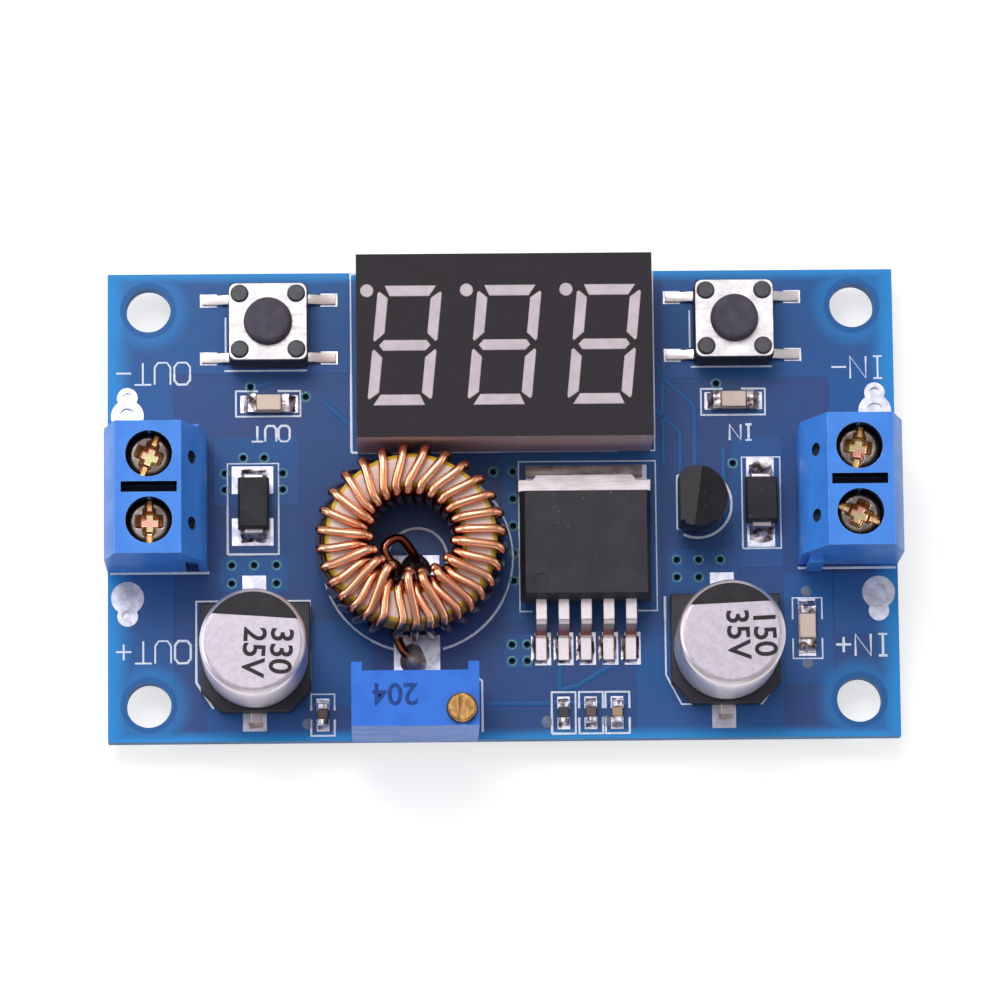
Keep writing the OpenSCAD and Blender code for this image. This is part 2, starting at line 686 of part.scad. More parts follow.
module regulator_leads() {
    t = 0.5;
    face = regulator_l / 2;
    color("#bdb5b6") at(regulator_at, part_z, -90)
    for (i = [-2:2]) translate([0, i * regulator_pitch, 0])
        bent_strip([[face - 0.8, lead_z], [face + 1.05, lead_z], [face + 1.35, lead_z - 0.2],
            [face + 1.95, 0.25], [face + 2.2, 0], [face + 4.25, 0], [face + 4.25, t],
            [face + 2.5, t], [face + 2.35, t + 0.15], [face + 1.75, lead_z + 0.25],
            [face + 1.45, lead_z + t], [face - 0.8, lead_z + t]], 0.85);
}

// ---- Diodes ----

diode_left = [2.4, 4, 2.1];             // width, length and height of the two bodies
diode_right = [2.5, 3.5, 2.1];
diode_lead_z = 0.95;

module diode_body(p, diode) {
    color("#232428") at(p, part_z) difference() {
        translate([0, 0, 0.08]) moulded_body([diode[0], diode[1], diode[2] - 0.08], 1, 0.12);
        for (end = [-1, 1]) translate([0, end * diode[1] / 2, -cut])
            slab([1.5, 1.7, cut + 0.22]);
        for (end = [-1, 1]) translate([0, end * diode[1] / 2, diode_lead_z])
            slab([1.5, 0.6, 0.22]);
    }
}

// Flat leads that leave the ends and fold under the body
module diode_terminals(p, diode) {
    t = 0.22;
    end = diode[1] / 2;
    color("#d4d3d8") at(p, part_z, 90) for (flip = [0, 180]) rotate([0, 0, flip])
        bent_strip([[end - 0.3, diode_lead_z], [end + 0.1, diode_lead_z], [end + 0.1, t],
            [end - 0.8, t], [end - 0.8, 0], [end + 0.22, 0], [end + 0.32, 0.1],
            [end + 0.32, diode_lead_z + t - 0.1], [end + 0.22, diode_lead_z + t],
            [end - 0.3, diode_lead_z + t]], 1.45);
}

module diode_left_body() { diode_body(diode_left_at, diode_left); }
module diode_left_terminals() { diode_terminals(diode_left_at, diode_left); }
module diode_right_body() { diode_body(diode_right_at, diode_right); }
module diode_right_terminals() { diode_terminals(diode_right_at, diode_right); }

// ---- Small three-lead regulator ----

small_z = board_t + 1.8;                // underside of its body

module small_regulator_body() {
    r = 2.3;
    flat = 1.3;
    body_l = 4.6;
    ridge = [0.05, 0.6, 0.9];               // place of the ridge, and the falls to its two sides
    color("#1f1f24") at(small_regulator_at, small_z)
    difference() {
        rotate_extrude() polygon([[0, 0], [r - 0.2, 0], [r, 0.3], [r, body_l], [0, body_l]]);
        // the top falls away on both sides of the ridge
        rotate([90, 0, -8]) translate([0, 0, -2 * r]) linear_extrude(4 * r)
            polygon([[ridge[0], body_l], [-2 * r, body_l - ridge[1]], [-2 * r, 2 * body_l],
                [2 * r, 2 * body_l], [2 * r, body_l - ridge[2]]]);
        translate([-flat - r, -r - 1, -cut]) cube([r, 2 * r + 2, body_l + 2 * cut]);
        // moulding steps beside the flat face
        for (side = [-1, 1]) translate([-flat, side * r, -cut]) slab([0.7, 0.9, body_l + 2 * cut]);
        for (p = small_pin_points)
            at(p - small_regulator_at, -cut) slab([0.45, 0.45, cut + 0.6]);
    }
}

module small_regulator_leads() {
    color("#cfcfd4") for (p = small_pin_points)
        at(p, -lead_drop) slab([0.45, 0.45, lead_drop + small_z + 0.6]);
}

// ---- Capacitors ----

base_t = 1.5;
can_z = 0.8;                            // floor of the recess that takes the can

module capacitor_can(p) {
    r = can_d / 2;
    h = capacitor_h - can_z;
    color("#c6c6cc") at(p, part_z + can_z) rotate_extrude($fn = 72)
        polygon([[0, 0], [r - 0.5, 0], [r - 0.1, 0.3], [r - 0.1, 0.9], [r - 0.28, 1.15],
            [r - 0.28, 1.4], [r, 1.75],
            for (a = [0:22.5:90]) [r - 0.5 + 0.5 * cos(a), h - 0.5 + 0.5 * sin(a)], [0, h]]);
}

module capacitor_base(p) {
    half = capacitor_side / 2;
    corner = 1.6;
    color("#222226") at(p, part_z)
    difference() {
        linear_extrude(base_t) polygon([[-half, half], [half, half], [half, -half + corner],
            [half - corner, -half], [-half + corner, -half], [-half, -half + corner]]);
        translate([0, 0, can_z]) cylinder(h = base_t, r = can_d / 2 - 0.1);
        translate([0, 0, -cut]) slab([0.9, capacitor_side + 1, cut + 0.2]);
        translate([0, 0, -cut]) slab([1.6, 4, base_t]);
    }
}

// Two flat leads that run out under the base, each bent up into the can
module capacitor_leads(p) {
    t = 0.2;
    reach = 4.9;
    color("#c9c9cf") at(p, part_z, 90) for (flip = [0, 180]) rotate([0, 0, flip])
        bent_strip([[1.3, 0], [reach, 0], [reach, t], [1.6, t], [1.6, can_z], [1.3, can_z]], 0.8);
}

module capacitor_left_can() { capacitor_can(capacitor_left_at); }
module capacitor_left_base() { capacitor_base(capacitor_left_at); }
module capacitor_left_leads() { capacitor_leads(capacitor_left_at); }
module capacitor_right_can() { capacitor_can(capacitor_right_at); }
module capacitor_right_base() { capacitor_base(capacitor_right_at); }
module capacitor_right_leads() { capacitor_leads(capacitor_right_at); }

// ---- Trimmer ----

trimmer_screw_at = trimmer_at + [trimmer_w / 2 - 1.3, -trimmer_d / 2 + 1.3];
trimmer_bore = 4.5;
screw_proud = 0.7;
seal_t = 0.9;
ear = [0.8, 0.65];

module trimmer_housing() {
    gap = trimmer_w - 2 * ear[0];
    color("#2f7fd6") at(trimmer_at)
    difference() {
        slab([trimmer_w, trimmer_d, trimmer_h]);
        // the back wall stands in between the two corner ears
        translate([0, trimmer_d / 2, -cut]) slab([gap, 2 * ear[1], trimmer_h + 2 * cut]);
        translate([0, -ear[1] / 2, -cut])
            slab([trimmer_w - 1.4, trimmer_d - ear[1] - 1.2, seal_t + cut]);
        at(trimmer_screw_at - trimmer_at, trimmer_h - trimmer_bore)
            cylinder(h = trimmer_bore + 1, d = trimmer_screw_d + 0.1);
    }
}

module trimmer_screw() {
    h = trimmer_bore + screw_proud;
    color("#c19b46") at(trimmer_screw_at, board_t + trimmer_h - trimmer_bore)
    difference() {
        rotate_extrude() polygon([[0, 0], [trimmer_screw_d / 2, 0], [trimmer_screw_d / 2, h - 0.15],
            [trimmer_screw_d / 2 - 0.15, h], [0, h]]);
        translate([0, 0, h - 0.6]) slab([0.45, 3, 1]);
    }
}

// Poured seal in the trimmer's open underside, with a slot past each pin
module trimmer_seal() {
    color("#d9d2bd") at(trimmer_at) translate([0, -ear[1] / 2, 0])
    difference() {
        slab([trimmer_w - 1.4, trimmer_d - ear[1] - 1.2, seal_t]);
        for (p = trimmer_pin_points) at(p - trimmer_at + [0, ear[1] / 2], -cut)
            cylinder(h = seal_t + 2 * cut, d = trimmer_pin_d);
    }
}

module trimmer_pins() {
    color("#cfcfd4") for (p = trimmer_pin_points)
        at(p, -lead_drop) cylinder(h = lead_drop + board_t + seal_t, d = trimmer_pin_d);
}

// ---- Indicators and chip parts ----

indicator = [3.2, 1.3];
indicator_base_t = 0.5;
cap_l = 0.6;                            // length of a metal end cap
chip = [1.6, 0.8];
resistor_t = 0.45;
capacitor_t = 0.8;
skin = 0.03;                            // thickness of a wrapped end cap
under_chips = [for (i = [0:3]) each [[12.5 + 2.6 * i, -3], [12.5 + 2.6 * i, -6.5]]];
under_resistors = [for (i = [0:7]) if (i % 2 == 0) under_chips[i]];
under_capacitors = [for (i = [0:7]) if (i % 2 == 1) under_chips[i]];

module each_indicator() {
    for (side = [-1, 1]) at([side * switch_x, indicator_y], part_z) children();
    at(indicator_side_at, part_z, 90) children();
}

module indicator_substrates() {
    color("#d8c9a3") each_indicator()
        slab([indicator[0] - 2 * cap_l, indicator[1], indicator_base_t]);
}

// Clear lens with sloping ends
module indicator_lenses() {
    color("#e3d3b4") each_indicator() translate([0, 0, indicator_base_t])
        bent_strip([[-0.98, 0], [0.98, 0], [0.9, 0.5], [-0.9, 0.5]], indicator[1] - 0.1);
}

module end_caps(size, t) {
    for (end = [-1, 1]) translate([end * (size[0] - cap_l) / 2, 0, 0])
        slab([cap_l, size[1], t]);
}

module indicator_terminals() {
    color("#d2d2d8") each_indicator() end_caps(indicator, indicator_base_t);
}

module each_chip(tops, unders) {
    for (p = tops) at(p, part_z, 90) children();
    for (p = unders) at(p, -land_t) mirror([0, 0, 1]) children();
}

module chip_core(t) {
    slab([chip[0] - 2 * cap_l / 1.4, chip[1] - skin, t - skin]);
}

module chip_resistor_bodies() {
    color("#202024") each_chip([resistor_top_at], under_resistors) chip_core(resistor_t);
}

module chip_capacitor_bodies() {
    color("#8a6a4a") each_chip(capacitor_chips_at, under_capacitors) chip_core(capacitor_t);
}

module chip_caps(t) {
    l = cap_l / 1.4;
    for (end = [-1, 1]) translate([end * (chip[0] - l) / 2, 0, 0]) slab([l, chip[1], t]);
}

module chip_end_caps() {
    color("#cfcfd6") {
        each_chip([resistor_top_at], under_resistors) chip_caps(resistor_t);
        each_chip(capacitor_chips_at, under_capacitors) chip_caps(capacitor_t);
    }
}

// ---- Voltmeter controller, on the underside ----

controller = [4.4, 6.5, 0.95];
controller_pitch = 0.65;

module controller_body() {
    color("#26262b") at(controller_at, -land_t) mirror([0, 0, 1])
    difference() {
        translate([0, 0, 0.1]) moulded_body(controller, 0.45, 0.1);
        for (i = [0:9], side = [-1, 1])
            translate([side * 2.1, (i - 4.5) * controller_pitch, 0.5]) slab([0.6, 0.24, 0.14]);
        translate([-1.5, 2.6, 1]) cylinder(h = 1, d = 0.7);
    }
}

module controller_leads() {
    t = 0.14;
    color("#cfcfd4") at(controller_at, -land_t) mirror([0, 0, 1])
    for (flip = [0, 180], i = [0:9]) rotate([0, 0, flip]) translate([0, (i - 4.5) * controller_pitch, 0])
        bent_strip([[1.8, 0.5], [2.45, 0.5], [2.6, 0], [3.2, 0], [3.2, t], [2.7, t], [2.55, 0.5 + t],
            [1.8, 0.5 + t]], 0.24);
}

// ---- Solder ----

// A wedge of solder that climbs an end face; it grows towards +X
module wedge(run, rise, width) {
    bent_strip([[0, 0], [run, 0], [run * 0.35, rise * 0.3], [0, rise]], width);
}

module end_wedges(length, run, rise, width) {
    for (flip = [0, 180]) rotate([0, 0, flip]) translate([length / 2, 0, 0]) wedge(run, rise, width);
}

module solder_fillets() {
    color("#c4c5d0") {
        each_indicator() end_wedges(indicator[0], 0.45, 0.42, 1.2);
        each_chip([resistor_top_at], under_resistors) end_wedges(chip[0], 0.35, 0.35, 0.75);
        each_chip(capacitor_chips_at, under_capacitors) end_wedges(chip[0], 0.35, 0.5, 0.75);
        at(diode_left_at, part_z, 90) end_wedges(diode_left[1] + 0.64, 0.65, 0.8, 2.1);
        at(diode_right_at, part_z, 90) end_wedges(diode_right[1] + 0.64, 1.2, 0.9, 1.9);
        at(regulator_at + [0, regulator_l / 2 + 1.4], part_z, 90) wedge(0.6, 0.9, 7.3);
        for (i = [-2:2]) at(regulator_at + [i * regulator_pitch, -regulator_l / 2 - 4.25], part_z, -90)
            wedge(0.3, 0.4, 0.85);
        for (p = [capacitor_left_at, capacitor_right_at]) at(p, part_z, 90) end_wedges(9.8, 0.6, 0.2, 1.1);
        // the two ends of the inductor's wire
        for (p = [hole_tip - [0, 0.25, 0], outer_tip])
            at(p, part_z) cylinder(h = 0.9, r1 = 1.05, r2 = 0.35);
    }
}

module joint_cone(p, d, w) {
    at(p, -land_t) mirror([0, 0, 1]) difference() {
        rotate_extrude() polygon([[0, 0], [d / 2, 0], [d / 4, 0.4], [w, 1], [0, 1]]);
        children();
    }
}

module solder_joints() {
    long = 4;
    color("#c4c5d0") {
        for (p = block_pin_points) joint_cone(p, 2.5, 0.8)
            translate([0, 0, -1]) slab([block_pin_w, block_pin_w, long]);
        for (p = display_pin_points) joint_cone(p, 1.5, 0.42)
            translate([0, 0, -1]) slab([pin_w, pin_w, long]);
        for (p = trimmer_pin_points) joint_cone(p, 1.5, 0.4)
            translate([0, 0, -1]) cylinder(h = long, d = trimmer_pin_d);
        for (p = small_pin_points) joint_cone(p, 1.15, 0.38)
            translate([0, 0, -1]) slab([0.45, 0.45, long]);
    }
}

circuit_board();
tinned_lands();
terminal_housing_out();
terminal_housing_in();
terminal_contacts_out();
terminal_contacts_in();
wire_guard_out_minus();
wire_guard_out_plus();
wire_guard_in_minus();
wire_guard_in_plus();
clamp_screw_out_minus();
clamp_screw_out_plus();
clamp_screw_in_minus();
clamp_screw_in_plus();
display_housing();
display_light_bars();
display_base_board();
display_pins();
switch_base_left();
switch_cover_left();
switch_button_left();
switch_dome_left();
switch_leads_left();
switch_base_right();
switch_cover_right();
switch_button_right();
switch_dome_right();
switch_leads_right();
inductor_core();
inductor_winding();
regulator_body();
regulator_tab();
regulator_leads();
diode_left_body();
diode_left_terminals();
diode_right_body();
diode_right_terminals();
small_regulator_body();
small_regulator_leads();
capacitor_left_can();
capacitor_left_base();
capacitor_left_leads();
capacitor_right_can();
capacitor_right_base();
capacitor_right_leads();
trimmer_housing();
trimmer_screw();
trimmer_seal();
trimmer_pins();
indicator_substrates();
indicator_lenses();
indicator_terminals();
chip_resistor_bodies();
chip_capacitor_bodies();
chip_end_caps();
controller_body();
controller_leads();
solder_fillets();
solder_joints();
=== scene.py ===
import json
import math
import random

import bmesh
import bpy
from mathutils import Matrix, Vector

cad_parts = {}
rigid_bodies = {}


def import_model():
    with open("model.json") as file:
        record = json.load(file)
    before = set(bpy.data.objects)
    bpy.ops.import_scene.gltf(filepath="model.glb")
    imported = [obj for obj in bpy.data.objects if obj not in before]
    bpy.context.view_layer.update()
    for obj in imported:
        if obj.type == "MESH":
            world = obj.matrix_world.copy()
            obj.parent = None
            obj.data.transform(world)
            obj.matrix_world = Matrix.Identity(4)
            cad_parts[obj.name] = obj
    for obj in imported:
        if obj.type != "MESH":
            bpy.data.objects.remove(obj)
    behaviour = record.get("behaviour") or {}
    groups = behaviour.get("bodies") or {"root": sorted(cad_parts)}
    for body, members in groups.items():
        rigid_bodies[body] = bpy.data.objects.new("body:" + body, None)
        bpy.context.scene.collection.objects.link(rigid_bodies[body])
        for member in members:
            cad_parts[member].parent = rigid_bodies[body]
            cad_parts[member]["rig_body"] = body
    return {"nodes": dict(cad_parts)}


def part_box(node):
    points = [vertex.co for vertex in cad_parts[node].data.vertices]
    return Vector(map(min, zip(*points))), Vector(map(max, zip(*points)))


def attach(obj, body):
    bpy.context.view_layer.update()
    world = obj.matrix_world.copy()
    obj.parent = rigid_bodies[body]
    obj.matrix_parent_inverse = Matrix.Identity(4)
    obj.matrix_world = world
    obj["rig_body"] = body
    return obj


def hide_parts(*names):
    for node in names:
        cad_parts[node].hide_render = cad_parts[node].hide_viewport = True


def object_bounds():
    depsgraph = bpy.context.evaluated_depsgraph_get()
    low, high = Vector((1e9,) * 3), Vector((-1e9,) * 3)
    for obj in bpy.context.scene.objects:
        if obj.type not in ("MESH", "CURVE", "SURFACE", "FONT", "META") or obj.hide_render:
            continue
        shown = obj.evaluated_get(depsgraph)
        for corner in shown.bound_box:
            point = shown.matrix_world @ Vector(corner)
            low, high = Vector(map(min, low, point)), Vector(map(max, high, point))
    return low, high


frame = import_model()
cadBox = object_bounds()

mm = 0.001
random.seed(7)
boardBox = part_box("circuit_board")
boardTop = boardBox[1].z
boardHalf = Vector((boardBox[1].x, boardBox[1].y))


def srgb(r, g, b):
    def linear(c):
        c = c / 255
        return c / 12.92 if c <= 0.04045 else ((c + 0.055) / 1.055) ** 2.4
    return (linear(r), linear(g), linear(b), 1)


# Node helpers for the materials

def newGroup(name, inputs, outputs):
    group = bpy.data.node_groups.new(name, "ShaderNodeTree")
    for label, kind, value in inputs:
        socket = group.interface.new_socket(name=label, in_out="INPUT", socket_type=kind)
        if value is not None:
            socket.default_value = value
    for label, kind in outputs:
        group.interface.new_socket(name=label, in_out="OUTPUT", socket_type=kind)
    return group, group.nodes.new("NodeGroupInput"), group.nodes.new("NodeGroupOutput")


def join(tree, socket, value):
    if isinstance(value, (int, float, tuple)):
        socket.default_value = value
    else:
        tree.links.new(value, socket)


def mathNode(tree, operation, *values):
    node = tree.nodes.new("ShaderNodeMath")
    node.operation = operation
    for place, value in enumerate(values):
        join(tree, node.inputs[place], value)
    return node.outputs[0]


def mixColor(tree, factor, a, b):
    node = tree.nodes.new("ShaderNodeMix")
    node.data_type = "RGBA"
    for place, value in ((0, factor), (6, a), (7, b)):
        join(tree, node.inputs[place], value)
    return node.outputs[2]


def fade(tree, value, low, high, outLow=0.0, outHigh=1.0):
    node = tree.nodes.new("ShaderNodeMapRange")
    node.interpolation_type = "SMOOTHSTEP"
    tree.links.new(value, node.inputs["Value"])
    for label, number in (("From Min", low), ("From Max", high), ("To Min", outLow), ("To Max", outHigh)):
        node.inputs[label].default_value = number
    return node.outputs["Result"]


def distanceFrom(tree, place, middle):
    squares = []
    for value, center in zip(place, middle):
        offset = mathNode(tree, "SUBTRACT", value, center)
        squares.append(mathNode(tree, "MULTIPLY", offset, offset))
    return mathNode(tree, "SQRT", mathNode(tree, "ADD", *squares))


def noiseNode(tree, vector, scale, detail=3.0, roughness=0.55):
    node = tree.nodes.new("ShaderNodeTexNoise")
    node.inputs["Detail"].default_value = detail
    node.inputs["Roughness"].default_value = roughness
    join(tree, node.inputs["Scale"], scale)
    tree.links.new(vector, node.inputs["Vector"])
    return node.outputs["Fac"]


# A finish: two tones mixed in patches, a fine grain, and specks of lint or dirt
def makeFinishGroup():
    group, inside, out = newGroup("surfaceFinish", [
        ("Vector", "NodeSocketVector", None), ("Color", "NodeSocketColor", (0.5, 0.5, 0.5, 1)),
        ("Patch Color", "NodeSocketColor", (0.4, 0.4, 0.4, 1)),
        ("Patch Amount", "NodeSocketFloat", 0.3), ("Patch Scale", "NodeSocketFloat", 400.0),
        ("Grain Scale", "NodeSocketFloat", 9000.0), ("Roughness", "NodeSocketFloat", 0.4),
        ("Roughness Spread", "NodeSocketFloat", 0.1), ("Speck Amount", "NodeSocketFloat", 0.0),
        ("Speck Color", "NodeSocketColor", (0.6, 0.6, 0.6, 1))],
        [("Color", "NodeSocketColor"), ("Roughness", "NodeSocketFloat"), ("Height", "NodeSocketFloat")])
    socket = inside.outputs
    patch = noiseNode(group, socket["Vector"], socket["Patch Scale"])
    grain = noiseNode(group, socket["Vector"], socket["Grain Scale"], 2.0, 0.6)
    patchMask = fade(group, patch, 0.35, 0.65)
    amount = mathNode(group, "MULTIPLY", patchMask, socket["Patch Amount"])
    color = mixColor(group, amount, socket["Color"], socket["Patch Color"])
    dots = group.nodes.new("ShaderNodeTexVoronoi")
    dots.inputs["Scale"].default_value = 2600
    group.links.new(socket["Vector"], dots.inputs["Vector"])
    speckMask = fade(group, dots.outputs["Distance"], 0.02, 0.12, 1.0, 0.0)
    rare = fade(group, noiseNode(group, socket["Vector"], 900.0), 0.54, 0.6)
    speck = mathNode(group, "MULTIPLY", mathNode(group, "MULTIPLY", speckMask, rare),
                     socket["Speck Amount"])
    color = mixColor(group, speck, color, socket["Speck Color"])
    centred = mathNode(group, "SUBTRACT", grain, 0.5)
    rough = mathNode(group, "MULTIPLY_ADD", centred, socket["Roughness Spread"], socket["Roughness"])
    halfSpread = mathNode(group, "MULTIPLY", socket["Roughness Spread"], 0.5)
    rough = mathNode(group, "MULTIPLY_ADD", patchMask, halfSpread, rough)
    group.links.new(color, out.inputs["Color"])
    group.links.new(rough, out.inputs["Roughness"])
    group.links.new(mathNode(group, "MULTIPLY_ADD", patch, 0.5, grain), out.inputs["Height"])
    return group


# Fine parallel lines, as rolled, brushed or drawn metal has
def makeBrushedGroup():
    group, inside, out = newGroup("brushedLines", [
        ("Vector", "NodeSocketVector", None), ("Stretch", "NodeSocketVector", (1, 20, 20)),
        ("Scale", "NodeSocketFloat", 600.0)], [("Value", "NodeSocketFloat")])
    scaled = group.nodes.new("ShaderNodeVectorMath")
    scaled.operation = "MULTIPLY"
    group.links.new(inside.outputs["Vector"], scaled.inputs[0])
    group.links.new(inside.outputs["Stretch"], scaled.inputs[1])
    value = noiseNode(group, scaled.outputs[0], inside.outputs["Scale"], 4.0, 0.6)
    group.links.new(value, out.inputs["Value"])
    return group


finishGroup = makeFinishGroup()
brushedGroup = makeBrushedGroup()


class Surface:
    def __init__(self, name):
        self.material = bpy.data.materials.new(name)
        self.material.use_nodes = True
        self.tree = self.material.node_tree
        self.shader = self.tree.nodes["Principled BSDF"]
        self.place = self.tree.nodes.new("ShaderNodeTexCoord").outputs["Object"]

    def put(self, label, value):
        join(self.tree, self.shader.inputs[label], value)

    def group(self, group, **values):
        node = self.tree.nodes.new("ShaderNodeGroup")
        node.node_tree = group
        self.tree.links.new(self.place, node.inputs["Vector"])
        for label, value in values.items():
            join(self.tree, node.inputs[label.replace("_", " ")], value)
        return node

    def axes(self):
        split = self.tree.nodes.new("ShaderNodeSeparateXYZ")
        self.tree.links.new(self.place, split.inputs[0])
        return split.outputs

    def bump(self, height, strength, distance=0.02 * mm):
        node = self.tree.nodes.new("ShaderNodeBump")
        node.inputs["Strength"].default_value = strength
        node.inputs["Distance"].default_value = distance
        self.tree.links.new(height, node.inputs["Height"])
        self.tree.links.new(node.outputs["Normal"], self.shader.inputs["Normal"])


def plainSurface(name, color, patch, rough, spread=0.1, metallic=0.0, bump=0.15, coat=0.0, speck=0.0,
                 patchAmount=0.5, patchScale=500.0, grainScale=9000.0, specular=0.5,
                 speckColor=(0.35, 0.35, 0.37, 1)):
    surface = Surface(name)
    finish = surface.group(finishGroup, Color=color, Patch_Color=patch, Patch_Amount=patchAmount,
                           Patch_Scale=patchScale, Grain_Scale=grainScale, Roughness=rough,
                           Roughness_Spread=spread, Speck_Amount=speck, Speck_Color=speckColor)
    surface.finish = finish
    surface.put("Base Color", finish.outputs["Color"])
    surface.put("Roughness", finish.outputs["Roughness"])
    surface.put("Metallic", metallic)
    surface.put("Coat Weight", coat)
    surface.put("Coat Roughness", 0.12)
    surface.put("Specular IOR Level", specular)
    surface.bump(finish.outputs["Height"], bump)
    return surface


def brushedSurface(name, color, dark, rough, scale=900.0, stretch=(1, 18, 18), bump=0.12, mottle=0.35,
                   tint=None, tintScale=700.0):
    surface = Surface(name)
    finish = surface.group(finishGroup, Color=color, Patch_Color=tint or dark, Patch_Amount=mottle,
                           Patch_Scale=tintScale, Roughness=rough, Roughness_Spread=0.12)
    lines = surface.group(brushedGroup, Stretch=stretch, Scale=scale).outputs["Value"]
    lineMask = fade(surface.tree, lines, 0.35, 0.7)
    shade = mathNode(surface.tree, "MULTIPLY", lineMask, 0.35)
    surface.finish = finish
    surface.put("Base Color", mixColor(surface.tree, shade, finish.outputs["Color"], dark))
    surface.put("Roughness", mathNode(surface.tree, "MULTIPLY_ADD", lineMask, 0.08,
                                      finish.outputs["Roughness"]))
    surface.put("Metallic", 1.0)
    surface.bump(lines, bump, 0.01 * mm)
    return surface


def setMaterial(piece, surface):
    piece.data.materials.clear()
    piece.data.materials.append(surface.material)


# Mesh helpers

def placeMesh(name, mesh, surfaces, smooth=False, merge=True):
    if merge:
        bmesh.ops.remove_doubles(mesh, verts=mesh.verts, dist=0.0001 * mm)
        bmesh.ops.recalc_face_normals(mesh, faces=mesh.faces)
    if smooth:
        for face in mesh.faces:
            face.smooth = True
    data = bpy.data.meshes.new(name)
    mesh.to_mesh(data)
    mesh.free()
    piece = bpy.data.objects.new(name, data)
    bpy.context.scene.collection.objects.link(piece)
    for surface in surfaces:
        data.materials.append(surface.material)
    return piece


# A CAD node's mesh with its triangles joined back into whole faces
def wholeFaces(node):
    mesh = bmesh.new()
    mesh.from_mesh(frame["nodes"][node].data)
    bmesh.ops.remove_doubles(mesh, verts=mesh.verts, dist=0.001 * mm)
    bmesh.ops.dissolve_limit(mesh, angle_limit=math.radians(0.5), verts=mesh.verts, edges=mesh.edges)
    mesh.normal_update()
    return mesh


def bendOf(edge):
    return edge.calc_face_angle(0.0)


# A copy of a CAD piece with whole faces and rounded edges; faces of a curve shade smoothly
def softCopy(node, surfaces, edge=0.12 * mm, segments=3, angle=30, name=None, chooser=None,
             edgeIndex=-1, smoothAngle=28):
    mesh = wholeFaces(node)
    for face in mesh.faces:
        if chooser:
            face.material_index = chooser(face)
        face.smooth = any(0.01 < bendOf(side) < math.radians(smoothAngle) for side in face.edges)
    if edge:
        sharp = [side for side in mesh.edges if bendOf(side) > math.radians(angle)]
        rounded = bmesh.ops.bevel(mesh, geom=sharp, offset=edge, segments=segments, profile=0.5,
                                  affect="EDGES", clamp_overlap=True, material=edgeIndex)
        for face in rounded["faces"]:
            face.smooth = True
    piece = placeMesh(name or node + "_part", mesh, surfaces, merge=False)
    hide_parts(node)
    return piece


def bodyOf(node):
    return frame["nodes"][node]["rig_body"]


def ridePiece(piece, body):
    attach(piece, body)


# A curve's shape as a mesh to work on; the curve itself doesn't stay in the scene
def meshOfCurve(curve):
    holder = bpy.data.objects.new(curve.name, curve)
    bpy.context.scene.collection.objects.link(holder)
    bpy.context.view_layer.update()
    shaped = holder.evaluated_get(bpy.context.evaluated_depsgraph_get())
    data = bpy.data.meshes.new_from_object(shaped)
    bpy.data.objects.remove(holder)
    mesh = bmesh.new()
    mesh.from_mesh(data)
    bpy.data.meshes.remove(data)
    for face in mesh.faces:
        face.material_index = 0
    return mesh


# A tube along one or more lines of points; height below 1 flattens it to a printed line
def sweepTube(name, lines, radius, surface, resolution=6, height=1.0, level=0.0):
    curve = bpy.data.curves.new(name + "_path", "CURVE")
    curve.dimensions = "3D"
    curve.bevel_depth = radius
    curve.bevel_resolution = resolution
    curve.use_fill_caps = True
    for points in lines:
        spline = curve.splines.new("POLY")
        spline.points.add(len(points) - 1)
        for place, point in zip(spline.points, points):
            place.co = (*point, 1)
    mesh = meshOfCurve(curve)
    bmesh.ops.scale(mesh, vec=(1, 1, height), verts=mesh.verts)
    bmesh.ops.translate(mesh, vec=(0, 0, level), verts=mesh.verts)
    return placeMesh(name, mesh, [surface], smooth=True, merge=False)


# A smooth curve through the points, with the given number of steps between each two
def smoothPath(points, steps):
    path = []
    for i in range(len(points) - 1):
        before = Vector(points[max(i - 1, 0)])
        start = Vector(points[i])
        end = Vector(points[i + 1])
        after = Vector(points[min(i + 2, len(points) - 1)])
        for j in range(steps):
            t = j / steps
            square = (2 * before - 5 * start + 4 * end - after) * t * t
            cube = (3 * start - before - 3 * end + after) * t ** 3
            path.append(0.5 * (2 * start + (end - before) * t + square + cube))
    path.append(Vector(points[-1]))
    return path


# A round piece, from the outline of one side given as distance from its middle and height
def spinProfile(name, profile, center, surfaces, steps=96, chooser=None):
    mesh = bmesh.new()
    row = [mesh.verts.new((r, 0, z)) for r, z in profile]
    edges = [mesh.edges.new(pair) for pair in zip(row, row[1:])]
    bmesh.ops.spin(mesh, geom=row + edges, cent=(0, 0, 0), axis=(0, 0, 1), angle=math.tau,
                   steps=steps, use_merge=True)
    bmesh.ops.remove_doubles(mesh, verts=mesh.verts, dist=0.001 * mm)
    bmesh.ops.recalc_face_normals(mesh, faces=mesh.faces)
    bmesh.ops.translate(mesh, verts=mesh.verts, vec=center)
    if chooser:
        for face in mesh.faces:
            face.material_index = chooser(face)
    return placeMesh(name, mesh, surfaces, smooth=True)


# Lettering in the plain built-in face, laid flat where it is printed
def printText(name, words, size, place, turn, surface):
    curve = bpy.data.curves.new(name + "_text", "FONT")
    curve.body = words
    curve.size = size
    curve.align_x = "CENTER"
    curve.align_y = "CENTER"
    curve.resolution_u = 4
    curve.offset = 0.018 * size
    mesh = meshOfCurve(curve)
    spin = Matrix.Rotation(math.radians(turn), 3, "Z")
    bmesh.ops.rotate(mesh, verts=mesh.verts, cent=(0, 0, 0), matrix=spin)
    bmesh.ops.translate(mesh, verts=mesh.verts, vec=place)
    ridePiece(placeMesh(name, mesh, [surface], merge=False), "module")


print("helpers ready")


# Circuit board: blue mask, copper areas a hair higher, white lines and legends

